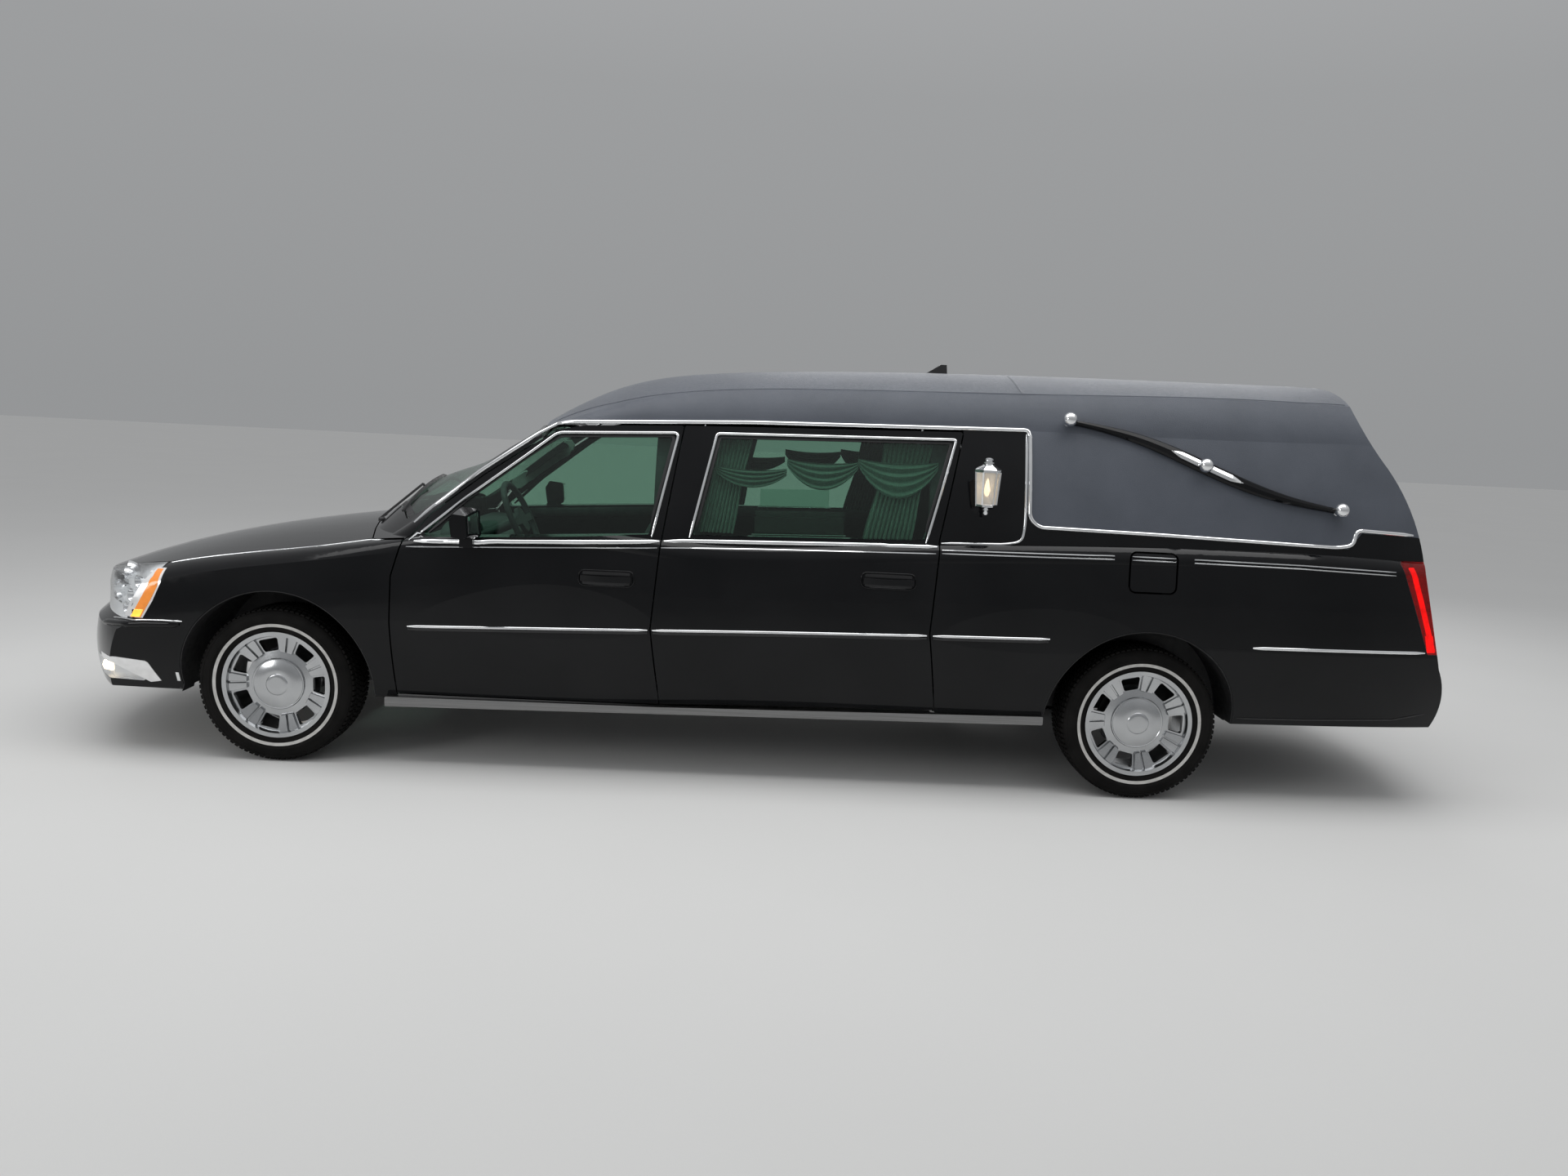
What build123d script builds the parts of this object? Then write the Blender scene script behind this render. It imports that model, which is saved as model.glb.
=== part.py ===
"""A six-metre coach-built hearse with a raised padded roof, as separate pieces.

The frame: X runs rearwards, Y to the right-hand side and Z up. The origin lies on the
ground, under the middle of the overall length. All sizes are in millimetres.
"""

import os
from math import cos, radians, sin, tan

from build123d import *

os.makedirs("parts", exist_ok=True)

# Overall sizes
overall_length = 6350
body_width = 1900
roof_height = 1858
wheelbase = 3760
front_overhang = 1090

# Heights on the side
sill_height = 300
belt_height = 1045
cant_height = 1560
deck_height = 700
floor_height = 340
sheet_thickness = 30

# Wheels
axle_height = 340
tyre_radius = axle_height
tyre_width = 235
rim_radius = 228
rim_width = 196
track_front = 1588
track_rear = 1575
arch_radius = 420
hub_bore = 30
hub_clearance = 0.3

# Walls and gaps
panel_gap = 6
flap_gap = 8
tail_gap = 12
lower_wall = 110
upper_wall = 48
end_wall = 80
skin_wall = 22
tail_skin = 12
tail_core_inset = 45
flange_lap = 25
glass_thickness = 5
glass_depth = 9
seat_gap = 0.3

half_width = body_width / 2
F = -overall_length / 2 + front_overhang
R = F + wheelbase
nose = F - front_overhang
tail = overall_length / 2

# The windscreen plane on the centre line
screen_slope = tan(radians(32.1))
screen_foot = F + 275
screen_foot_height = belt_height + 5
header_x = F + 1060
header_bow = 75
header_height = screen_foot_height + (header_x - screen_foot) * screen_slope

# Lower body sections, front to rear. Columns: station, half width, bottom height,
# widest height, shoulder height, edge inset, edge height, crown height.
lower_rows = (
    (F - 1150, half_width - 60, sill_height - 10, 500, 590, 130, 625, 690),
    (F - 850, half_width - 35, sill_height - 10, 540, 670, 130, 735, 816),
    (F - 450, half_width - 15, sill_height - 10, 600, 790, 120, 850, 925),
    (F + 200, half_width - 5, sill_height - 5, 650, 900, 100, 950, 1034),
    (F + 600, half_width, sill_height, 660, belt_height - 85, 62, belt_height - 35, belt_height + 30),
    (F + 1650, half_width, sill_height + 15, 665, belt_height - 65, 55, belt_height + 5, belt_height + 35),
    (R - 920, half_width, sill_height + 32, 680, belt_height - 35, 55, belt_height + 38, belt_height + 65),
    (R, half_width, sill_height + 45, 690, belt_height, 55, belt_height + 70, belt_height + 95),
    (R + 840, half_width - 20, sill_height + 55, 690, belt_height, 58, belt_height + 70, belt_height + 95),
    (R + 1200, half_width - 45, sill_height + 60, 690, belt_height - 20, 60, belt_height + 50, belt_height + 75),
    (R + 1560, half_width - 130, sill_height + 60, 690, belt_height - 60, 70, belt_height, belt_height + 30),
)

# Upper body sections. Columns: station, base half width, cant half width, cant height,
# shoulder half width, shoulder height, crown height.
upper_rows = (
    (F + 275, 880, 800, 885, 700, 926, screen_foot_height),
    (F + 700, 895, 785, 1165, 680, 1205, screen_foot_height + 267),
    (header_x, 905, 742, 1448, 655, 1468, header_height),
    (F + 1355, 905, 740, cant_height - 25, 668, 1598, roof_height - 162),
    (F + 1825, 905, 740, cant_height - 8, 662, 1690, roof_height - 70),
    (F + 2400, 905, 740, cant_height + 10, 660, 1722, roof_height - 34),
    (R - 440, 905, 742, cant_height + 24, 660, 1745, roof_height - 10),
    (R + 700, 895, 742, cant_height + 30, 655, 1762, roof_height),
    (R + 1100, 870, 715, cant_height + 20, 610, 1745, roof_height - 10),
    (R + 1560, 800, 620, cant_height - 40, 500, 1690, roof_height - 50),
)
upper_foot_height = 700
side_bulge = 44

# Nose and tail in side view, each turned about an upright axis. Columns: radius, height.
nose_axis = F + 168
nose_reach = front_overhang + 168
nose_profile = (
    (nose_reach - 60, 200),
    (nose_reach - 20, 300),
    (nose_reach, 430),
    (nose_reach - 12, 560),
    (nose_reach - 56, 600),
    (nose_reach - 60, 680),
    (nose_reach - 80, 780),
    (nose_reach - 140, 860),
)
tail_axis = R - 790
tail_reach = tail - tail_axis
tail_profile = (
    (tail_reach - 60, 300),
    (tail_reach, 480),
    (tail_reach - 30, 640),
    (tail_reach - 130, belt_height + 10),
    (tail_reach - 200, 1290),
    (tail_reach - 320, 1494),
    (tail_reach - 440, 1660),
    (tail_reach - 560, roof_height + 30),
)
limit_top = 2000


def section_plane(station):
    """Cross-section plane at a station, with its x across the body and its y up."""
    return Plane(origin=(station, 0, 0), x_dir=(0, 1, 0), z_dir=(1, 0, 0))


def lower_hull(inset, rows=lower_rows):
    """Solid lower body, drawn in by the inset on its sides and top."""
    with BuildPart() as hull:
        for station, half, bottom, widest, shoulder, edge_inset, edge, crown in rows:
            drop = min(inset, skin_wall)
            foot = (half - 90 - inset, bottom)
            belly = (half - inset, widest)
            hip = (half - 22 - inset, shoulder - drop)
            rim = (half - edge_inset - inset, edge - drop)
            flank = (half - 30 - inset, (bottom + widest) / 2)
            waist = (half - 6 - inset, (widest + shoulder - drop) / 2)
            turn = (half - (22 + edge_inset) / 2 + 9 - inset, (shoulder + edge) / 2 + 7 - drop)
            with BuildSketch(section_plane(station)):
                with BuildLine():
                    Line((-foot[0], foot[1]), foot)
                    ThreePointArc(foot, flank, belly)
                    ThreePointArc(belly, waist, hip)
                    ThreePointArc(hip, turn, rim)
                    ThreePointArc(rim, (0, crown - drop), (-rim[0], rim[1]))
                    ThreePointArc((-rim[0], rim[1]), (-turn[0], turn[1]), (-hip[0], hip[1]))
                    ThreePointArc((-hip[0], hip[1]), (-waist[0], waist[1]), (-belly[0], belly[1]))
                    ThreePointArc((-belly[0], belly[1]), (-flank[0], flank[1]), (-foot[0], foot[1]))
                make_face()
        loft()
    return hull.part


def upper_hull(inset):
    """Solid cabin and roof above the belt, drawn in by the inset."""
    with BuildPart() as hull:
        for station, base, cant, cant_z, shoulder, shoulder_z, crown in upper_rows:
            foot = (base - inset, upper_foot_height)
            rail = (cant - inset, cant_z - inset / 2)
            brow = (shoulder - inset * 0.8, shoulder_z - inset)
            flank = ((foot[0] + rail[0]) / 2 + side_bulge, (foot[1] + rail[1]) / 2)
            turn = ((rail[0] + brow[0]) / 2 + 10, (rail[1] + brow[1]) / 2 + 8)
            with BuildSketch(section_plane(station)):
                with BuildLine():
                    Line((-foot[0], foot[1]), foot)
                    ThreePointArc(foot, flank, rail)
                    ThreePointArc(rail, turn, brow)
                    ThreePointArc(brow, (0, crown - inset), (-brow[0], brow[1]))
                    ThreePointArc((-brow[0], brow[1]), (-turn[0], turn[1]), (-rail[0], rail[1]))
                    ThreePointArc((-rail[0], rail[1]), (-flank[0], flank[1]), (-foot[0], foot[1]))
                make_face()
        loft()
    return hull.part


def end_limits(inset):
    """Everything between the rounded nose and the rounded tail, drawn in by the inset."""
    with BuildPart() as limits:
        with BuildSketch(Plane(origin=(nose_axis, 0, 0), x_dir=(-1, 0, 0), z_dir=(0, 1, 0))):
            with BuildLine():
                reach = [(radius - inset, height) for radius, height in nose_profile]
                Polyline((0, reach[0][1]), reach[0], reach[1])
                ThreePointArc(reach[1], reach[2], reach[3])
                Polyline(reach[3], reach[4], reach[5])
                ThreePointArc(reach[5], reach[6], reach[7])
                Polyline(reach[7], (reach[7][0], limit_top), (0, limit_top), (0, reach[0][1]))
            make_face()
        revolve(axis=Axis((nose_axis, 0, 0), (0, 0, 1)))
        with BuildSketch(Plane.XY):
            with Locations(((nose_axis + tail_axis) / 2, 0)):
                Rectangle(tail_axis - nose_axis, 4 * half_width)
        extrude(amount=limit_top)
        with BuildSketch(Plane(origin=(tail_axis, 0, 0), x_dir=(1, 0, 0), z_dir=(0, -1, 0))):
            with BuildLine():
                reach = [(radius - inset, height) for radius, height in tail_profile]
                Polyline((0, 0), (reach[0][0], 0), reach[0])
                ThreePointArc(reach[0], reach[1], reach[2])
                Line(reach[2], reach[3])
                ThreePointArc(reach[3], reach[4], reach[5])
                ThreePointArc(reach[5], reach[6], reach[7])
                Polyline(reach[7], (0, reach[7][1]), (0, 0))
            make_face()
        revolve(axis=Axis((tail_axis, 0, 0), (0, 0, 1)))
    return limits.part


def body_solid(lower_inset, upper_inset, end_inset, rows=lower_rows):
    """Lower and upper body as one solid, cut to the rounded nose and tail."""
    lower = lower_hull(lower_inset, rows)
    upper = upper_hull(upper_inset)
    limits = end_limits(end_inset)
    with BuildPart() as solid:
        add(lower)
        add(upper)
        add(limits, mode=Mode.INTERSECT)
    return solid.part


def side_prism(corners, gap=0, reach=2 * half_width, turn=12):
    """Prism over a side-view outline with rounded corners, on both sides of the middle."""
    with BuildPart() as prism:
        with BuildSketch(Plane.XZ):
            with BuildLine():
                FilletPolyline(*corners, radius=turn, close=True)
            make_face()
            if gap:
                offset(amount=gap, kind=Kind.INTERSECTION)
        extrude(amount=reach / 2, both=True)
    return prism.part


def end_prism(corners, start, stop, gap=0, turn=12):
    """Prism over an end-view outline, from one station to another."""
    with BuildPart() as prism:
        with BuildSketch(section_plane(start)):
            with BuildLine():
                FilletPolyline(*corners, radius=turn, close=True)
            make_face()
            if gap:
                offset(amount=gap, kind=Kind.INTERSECTION)
        extrude(amount=stop - start)
    return prism.part


def plan_prism(corners, bottom, top, gap=0, turn=12):
    """Prism over a plan-view outline, between two heights."""
    with BuildPart() as prism:
        with BuildSketch(Plane.XY.offset(bottom)):
            with BuildLine():
                FilletPolyline(*corners, radius=turn, close=True)
            make_face()
            if gap:
                offset(amount=gap, kind=Kind.INTERSECTION)
        extrude(amount=top - bottom)
    return prism.part


def slab(x_range, y_range, z_range):
    """Plain block between pairs of planes."""
    with BuildPart() as block:
        with BuildSketch(Plane.XY.offset(z_range[0])):
            with Locations(((x_range[0] + x_range[1]) / 2, (y_range[0] + y_range[1]) / 2)):
                Rectangle(x_range[1] - x_range[0], y_range[1] - y_range[0])
        extrude(amount=z_range[1] - z_range[0])
    return block.part


def cross_cylinder(station, height, radius, y_range):
    """Cylinder across the body, between two planes on either side of the middle."""
    with BuildPart() as cylinder:
        with BuildSketch(Plane.XZ.offset(-y_range[1])):
            with Locations((station, height)):
                Circle(radius)
        extrude(amount=y_range[1] - y_range[0])
    return cylinder.part


left_half = slab((-overall_length, overall_length), (-2 * half_width, 0), (0, 2 * roof_height))


def header_cut(gap):
    """Everything ahead of the roof's bowed front edge, with a gap."""
    corner = header_x + header_bow - gap
    with BuildPart() as ahead:
        with BuildSketch(Plane.XY):
            with BuildLine():
                ThreePointArc((corner, -half_width), (header_x - gap, 0), (corner, half_width))
                Polyline((corner, half_width), (nose, half_width), (nose, -half_width), (corner, -half_width))
            make_face()
        extrude(amount=2 * roof_height)
    return ahead.part


def cut_out(whole, *areas, less=()):
    """Piece of a whole inside every area and outside each of the rest."""
    with BuildPart() as piece:
        add(whole)
        for area in areas:
            add(area, mode=Mode.INTERSECT, clean=False)
        for solid in less:
            add(solid, mode=Mode.SUBTRACT, clean=False)
    return piece.part


def keep(name, part):
    """Label a finished piece and write its file."""
    part.label = name
    export_step(part, f"parts/{name}.step")
    return part


def pair(name, part):
    """Keep a left-hand piece and its mirror image as one node."""
    with BuildPart() as both:
        add(part)
        mirror(part, about=Plane.XZ)
    return keep(name, both.part)


def mirrored(name, part):
    """Keep the mirror image of a left-hand piece."""
    with BuildPart() as other:
        mirror(part, about=Plane.XZ)
    return keep(name, other.part)


# The body: its outside, the back of its outer skin, and the hollow within
outside_full = body_solid(0, 0, 0)
inside_full = body_solid(skin_wall, skin_wall, skin_wall)
hollow_full = body_solid(lower_wall, upper_wall, end_wall, lower_rows[3:])
outside = outside_full & left_half
inside = inside_full & left_half
under = slab((F + 330, tail - end_wall - 60), (-half_width + lower_wall + 90, 0), (0, deck_height))
hollow = (hollow_full & left_half) + under

# Panel lines in side view
half_gap = panel_gap / 2
door_foot = sill_height + 22
b_line = (
    (F + 1660, door_foot),
    (F + 1617, 672),
    (F + 1649, belt_height + 18),
    (F + 1720, cant_height - 20),
)
c_line = (
    (R - 896, door_foot + 30),
    (R - 948, 707),
    (R - 922, belt_height + 57),
    (R - 830, cant_height + 9),
)
a_line = ((F + 515, door_foot), (F + 505, 640), (F + 508, 848), (F + 550, 1000))
front_opening = (
    *a_line,
    (F + 640, belt_height + 65),
    (F + 860, belt_height + 240),
    (F + 1070, belt_height + 385),
    (F + 1170, cant_height - 64),
    (F + 1290, cant_height - 39),
    *reversed(b_line),
)
rear_opening = (*b_line, *reversed(c_line))
front_window = (
    (F + 600, belt_height - 30),
    (F + 790, belt_height + 132),
    (F + 1060, belt_height + 340),
    (F + 1180, cant_height - 86),
    (F + 1690, cant_height - 62),
    (F + 1592, belt_height + 25),
)
rear_window = (
    (F + 1778, belt_height + 30),
    (F + 1868, cant_height - 58),
    (R - 872, cant_height - 36),
    (R - 988, belt_height + 55),
)
roof_line = (
    (F + 1120, cant_height - 50),
    (F + 1225, cant_height - 36),
    (F + 2006, cant_height - 2),
    (R - 541, cant_height + 20),
    (R - 538, belt_height + 172),
    (R - 485, belt_height + 128),
    (R + 54, belt_height + 124),
    (R + 783, belt_height + 99),
    (R + 850, belt_height + 101),
    (R + 905, belt_height + 171),
    (R + 1500, belt_height + 150),
)
roof_zone = (
    *roof_line,
    (R + 1500, roof_height + 100),
    (F + 900, roof_height + 100),
    (F + 900, cant_height - 60),
)
rear_bumper_top = 700
tail_opening = (
    (-655, rear_bumper_top + panel_gap),
    (-668, 760),
    (-668, 1050),
    (-605, 1400),
    (-500, 1690),
    (500, 1690),
    (605, 1400),
    (668, 1050),
    (668, 760),
    (655, rear_bumper_top + panel_gap),
)
tail_window = ((-520, 1190), (-440, 1560), (440, 1560), (520, 1190))
hood_outline = (
    (F - 1200, -560),
    (F - 500, -790),
    (F + 200, -815),
    (F + 385, -800),
    (F + 330, -600),
    (F + 262, -300),
    (F + 240, 0),
    (F + 262, 300),
    (F + 330, 600),
    (F + 385, 800),
    (F + 200, 815),
    (F - 500, 790),
    (F - 1200, 560),
)
lamp_top = (
    (-1000, 846), (-800, 846), (-450, 757), (-340, 727),
    (340, 727), (450, 757), (800, 846), (1000, 846),
)
bumper_top = 597
cowl_half = 790
fog_inner = 560
fender_line = (
    (F - 637, bumper_top),
    (F - 488, 846),
    (F - 480, 1200),
    (F + 385, 1200),
    (F + 385, 985),
    (F + 550, 1003),
    (F + 508, 848),
    (F + 505, 640),
    (F + 515, door_foot),
    (F + 515, 200),
    (F, 200),
    (F, bumper_top),
)

# Doors, with their handles and mirrors
handle_length = 215
handle_height = 24
handle_face = half_width + 34
handle_root = half_width - 30
handle_end = half_width + 12
handle_grip = 12
handle_foot = 30


def door_handle(start, middle_height):
    """Bowed pull handle on the left side, from its front end."""
    stop = start + handle_length
    middle = (start + stop) / 2
    front_foot, rear_foot = start + handle_foot, stop - handle_foot
    front_grip, rear_grip = ((foot, handle_grip / 2 - handle_end) for foot in (front_foot, rear_foot))
    with BuildPart() as handle:
        with BuildSketch(Plane.XY.offset(middle_height - handle_height / 2)):
            with BuildLine():
                Polyline((start, -handle_root), (start, -handle_end))
                ThreePointArc((start, -handle_end), (middle, -handle_face), (stop, -handle_end))
                Polyline((stop, -handle_end), (stop, -handle_root), (rear_foot, -handle_root), rear_grip)
                ThreePointArc(rear_grip, (middle, handle_grip - handle_face), front_grip)
                Polyline(front_grip, (front_foot, -handle_root), (start, -handle_root))
            make_face()
        extrude(amount=handle_height)
    return handle.part


with BuildPart() as mirror_head:
    with BuildSketch(Plane.XZ.offset(half_width + 15)):
        with BuildLine():
            FilletPolyline(
                (F + 800, 1032), (F + 788, 1120), (F + 812, 1160),
                (F + 890, 1152), (F + 898, 1040), (F + 870, 1024),
                radius=14, close=True,
            )
        make_face()
    extrude(amount=165, taper=6)
    add(slab((F + 812, F + 868), (-half_width - 40, -half_width + 62), (990, 1036)))
for name, opening, window, handle in (
    ("front", front_opening, front_window, door_handle(F + 1316, 881)),
    ("rear", rear_opening, rear_window, door_handle(F + 2516, 924)),
):
    area = side_prism(opening, -half_gap)
    rebate = (inside & side_prism(opening, panel_gap)) - side_prism(opening, -half_gap - flange_lap)
    door = cut_out(outside, area, less=(hollow & side_prism(opening, 30), rebate, side_prism(window)))
    door = door + handle
    if name == "front":
        door = door + mirror_head.part
    keep(f"{name}_door_left", door)
    mirrored(f"{name}_door_right", door)

# Door glass
pane_shell = (upper_hull(glass_depth) & left_half) - upper_hull(glass_depth + glass_thickness)
for name, window in (("front", front_window), ("rear", rear_window)):
    glass = cut_out(pane_shell, side_prism(window, -seat_gap))
    keep(f"{name}_glass_left", glass)
    mirrored(f"{name}_glass_right", glass)

# Windscreen
screen_outline = (
    (F + 292, 0), (F + 318, -250), (F + 500, -690), (F + 1062, -622), (F + 1030, -250),
    (F + 1024, 0), (F + 1030, 250), (F + 1062, 622), (F + 500, 690), (F + 318, 250),
)
screen_shell = upper_hull(glass_depth) - upper_hull(glass_depth + glass_thickness)
screen_zone = slab((F + 200, F + 1300), (-half_width, half_width), (850, 1600))
keep("windscreen", cut_out(screen_shell & screen_zone, plan_prism(screen_outline, 800, 1700, -seat_gap, 30)))
frame_zone = slab((F + 240, F + 1230), (-half_width, half_width), (820, 1600))
lower_side = ((F + 388, 700), (F + 388, 988), (F + 553, 1006), (F + 570, 700))
cowl_end = F + 385 + panel_gap
front_body = (outside_full & frame_zone) - (hollow_full & frame_zone)
frame = cut_out(
    front_body, header_cut(half_gap),
    less=(
        plan_prism(screen_outline, 800, 1700, 0, 30),
        plan_prism(hood_outline, 600, 1200, panel_gap),
        side_prism(front_opening, half_gap),
        slab((F + 200, cowl_end), (-half_width, -cowl_half), (800, 1200)),
        slab((F + 200, cowl_end), (cowl_half, half_width), (800, 1200)),
        side_prism(lower_side),
        side_prism(roof_zone, half_gap),
    ),
)
keep("windscreen_frame", frame)

# Roof
tail_hole = end_prism(tail_opening, R + 600, tail + 100, tail_gap / 2)
roof_area = side_prism(roof_zone)
roof_zone_box = slab((F + 1000, tail), (-half_width, half_width), (belt_height + 50, 2000))
roof_wall = (outside_full & roof_zone_box) - (hollow_full & roof_zone_box)
keep("vinyl_top", cut_out(roof_wall, roof_area, less=(header_cut(0), tail_hole)))

# Hood, fenders and front lamps
rocker_line = ((F + 467, 266), (F + 467, 309), (F + 1660, 317), (R - 420, 352), (R - 420, 314))
rocker_box = slab((F + 400, R), (-892, -858), (200, 400))
rocker_strip = side_prism(rocker_line, turn=6) & rocker_box
rocker_cut = side_prism(rocker_line, 1, turn=6) & slab((F + 400, R), (-half_width, -800), (200, 400))
front_zone = slab((nose - 10, F + 600), (-half_width, half_width), (0, 1300))
front_out = outside_full & front_zone
front_in = inside_full & front_zone
lamp_area = end_prism((*lamp_top, (1000, 500), (-1000, 500)), nose - 100, F - 480, half_gap)
keep("hood", cut_out(front_out, plan_prism(hood_outline, 600, 1200), less=(front_in, lamp_area)))
fender = cut_out(
    front_out & left_half, side_prism(fender_line, -half_gap),
    less=(
        front_in,
        plan_prism(hood_outline, 600, 1200, panel_gap),
        cross_cylinder(F, axle_height, arch_radius, (-half_width, 0)),
        slab((F + 200, F + 600), (cowl_half * -1 - panel_gap, 0), (600, 1300)),
        slab((nose, F + 600), (-500, 0), (0, 1300)),
        rocker_cut,
    ),
)
pair("front_fenders", fender)

tail_lamp_foot = rear_bumper_top + 7
tail_lamp_head = belt_height + 60
tail_lamp_side = (
    (R + 1066, tail_lamp_head),
    (R + 1220, tail_lamp_foot),
    (tail + 100, tail_lamp_foot),
    (tail + 100, tail_lamp_head),
)
rear_zone = slab((R - 1000, tail + 10), (-half_width, 0), (0, 1700))
arch_rear = cross_cylinder(R, axle_height, arch_radius, (-half_width, 0))
quarter_foot = rear_bumper_top + seat_gap
quarter_line = (
    (R - 893, 200),
    (R - 893, door_foot + 30),
    (R - 945, 707),
    (R - 919, belt_height + 57),
    (R - 827, cant_height + 30),
    (R - 500, cant_height + 40),
    (R + 1550, belt_height + 300),
    (R + 1550, quarter_foot),
    (R, quarter_foot),
    (R, 200),
)
quarter = cut_out(
    outside & rear_zone, side_prism(quarter_line),
    less=(
        hollow & rear_zone,
        side_prism(roof_zone, 1),
        arch_rear,
        tail_hole,
        side_prism(rear_opening, half_gap),
        side_prism(tail_lamp_side),
        slab((R + 1340, tail + 10), (-700, 0), (600, 760)),
        rocker_cut,
    ),
)
flap_line = ((R - 111, 926), (R - 111, 1096), (R + 92, 1096), (R + 92, 926))
flap_back = ((-half_width + 24, 900), (-half_width + 54, 1120), (100, 1120), (100, 900))
flap = cut_out(
    outside & rear_zone, side_prism(flap_line, -flap_gap / 2, turn=28),
    less=(end_prism(flap_back, R - 200, R + 200, turn=2),),
)
keep("fuel_flap", flap)
pocket_zone = slab((R - 200, R + 200), (-2 * half_width, -half_width + 85), (800, 1200))
pocket = side_prism(flap_line, flap_gap / 2, turn=28) & pocket_zone
with BuildPart() as quarters:
    add(quarter)
    add(pocket, mode=Mode.SUBTRACT)
    add(mirror(quarter, about=Plane.XZ))
keep("rear_quarters", quarters.part)
tail_area = slab((R + 600, tail + 10), (-half_width, half_width), (600, 1750))
tail_wall = (outside_full & tail_area) - (hollow_full & tail_area)
tail_core = body_solid(skin_wall, skin_wall, tail_skin) & tail_area
tail_door = cut_out(
    tail_wall, end_prism(tail_opening, R + 600, tail + 100, -tail_gap / 2),
    less=(
        tail_core - end_prism(tail_opening, R + 500, tail + 200, -tail_core_inset),
        end_prism(tail_window, R + 600, tail + 100),
    ),
)
keep("tail_door", tail_door)
rear_bumper_zone = slab((R + 100, tail + 10), (-half_width, half_width), (0, rear_bumper_top))
rear_arches = cross_cylinder(R, axle_height, arch_radius, (-half_width, half_width))
keep("rear_bumper", cut_out(outside_full & rear_bumper_zone, less=(inside_full, rear_arches)))
bumper_edge = bumper_top + half_gap
front_bumper_zone = slab((nose - 10, F - 200), (-half_width, half_width), (0, bumper_edge - seat_gap))
fog_range = (nose - 10, F - 500)
fog_levels = (300, 430)
fog_line = ((nose - 60, 340), (nose - 60, 418), (F - 700, 414), (F - 548, 322))
fog_area = side_prism(fog_line) & slab(fog_range, (-half_width, -fog_inner), fog_levels)
intake_rows = ((450, 345, 395), (430, 412, 455))
with BuildPart() as bumper_intake:
    for half, low, high in intake_rows:
        add(end_prism(((-half, low), (-half, high), (half, high), (half, low)), nose - 60, F - 700))
front_skin = (front_out & front_bumper_zone) - front_in
keep("front_bumper", cut_out(
    front_skin,
    less=(
        cross_cylinder(F, axle_height, arch_radius, (-half_width, half_width)),
        bumper_intake.part,
        fog_area,
        mirror(fog_area, about=Plane.XZ),
    ),
))
fog_side = slab(fog_range, (-half_width, -fog_inner - 1), fog_levels)
pair("fog_lamps", cut_out(front_skin, side_prism(fog_line, -1), fog_side))

# Grille and front lamps
grille_half = 336
grille_top = 724
grille_depth = 350
hole_pitch = (44, 36)
hole_size = (35, 27)
grille_corners = (
    (-grille_half, bumper_edge),
    (grille_half, bumper_edge),
    (grille_half, grille_top),
    (-grille_half, grille_top),
)
grille_area = end_prism(grille_corners, nose - 50, nose - 50 + grille_depth)
grille_band = end_limits(6) - end_limits(26)
with BuildPart() as grille_holes:
    with BuildSketch(section_plane(nose - 50)):
        with Locations((0, (bumper_edge + grille_top) / 2)):
            with GridLocations(*hole_pitch, 14, 3):
                Rectangle(*hole_size)
    extrude(amount=grille_depth)
keep("grille", cut_out(front_out & grille_area, grille_band, less=(grille_holes.part,)))
lamp_side = ((nose - 60, bumper_edge), (F - 640, bumper_edge), (F - 490, 843), (nose - 60, 843))
lamp_zone = slab((nose - 10, F - 470), (-half_width, -grille_half - panel_gap), (bumper_top, 850))
headlamp = cut_out(
    outside & lamp_zone, side_prism(lamp_side),
    end_prism((*lamp_top, (1000, 500), (-1000, 500)), nose - 100, F - 400, -1),
    less=(end_limits(110),),
)
pair("front_lamps", headlamp)

# Tail lamps and tail glass
tail_lamp_zone = slab((R + 1000, tail + 10), (-half_width, -676), (650, 1200))
tail_lamp = cut_out(outside & tail_lamp_zone, side_prism(tail_lamp_side, -1), less=(hollow & tail_lamp_zone,))
pair("tail_lamps", tail_lamp)
tail_pane = (end_limits(glass_depth) - end_limits(glass_depth + glass_thickness)) & slab(
    (R, tail), (-half_width, half_width), (1000, 1700)
)
keep("tail_glass", cut_out(tail_pane, end_prism(tail_window, R + 600, tail + 100, -seat_gap)))

# Floor, rockers and pillars
under_floor = floor_height - sheet_thickness - seat_gap
floor_half = 640
dash_foot = 760
with BuildPart() as floor:
    add(slab((F + 440, R - 440), (-floor_half, floor_half), (floor_height - sheet_thickness, floor_height)))
    add(slab((F + 440, F + 470), (-floor_half, floor_half), (floor_height, dash_foot - seat_gap)))
keep("floor_pan", floor.part)
sill_top = sill_height + 120
sill_box = slab((F + 518, R - 430), (-750, -floor_half - seat_gap), (sill_height, sill_top))
sill_shelf = slab((F + 518, R - 896), (-862, -740), (sill_height, door_foot - 5))
pair("rockers", sill_box + sill_shelf + rocker_strip)
pillar_line = (
    (-735, sill_top + seat_gap), (-816, 640), (-816, 1000), (-796, 1124),
    (-766, 1300), (-736, 1400), (-676, 1520), (-630, 1520),
    (-690, 1390), (-720, 1290), (-750, 1110), (-768, 1000),
    (-768, 660), (-680, sill_top + seat_gap),
)
with BuildPart() as pillars:
    for front, back in ((F + 1600, F + 1730), (R - 960, R - 880)):
        add(end_prism(pillar_line, front, back, turn=4))
pair("door_pillars", pillars.part)

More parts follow.
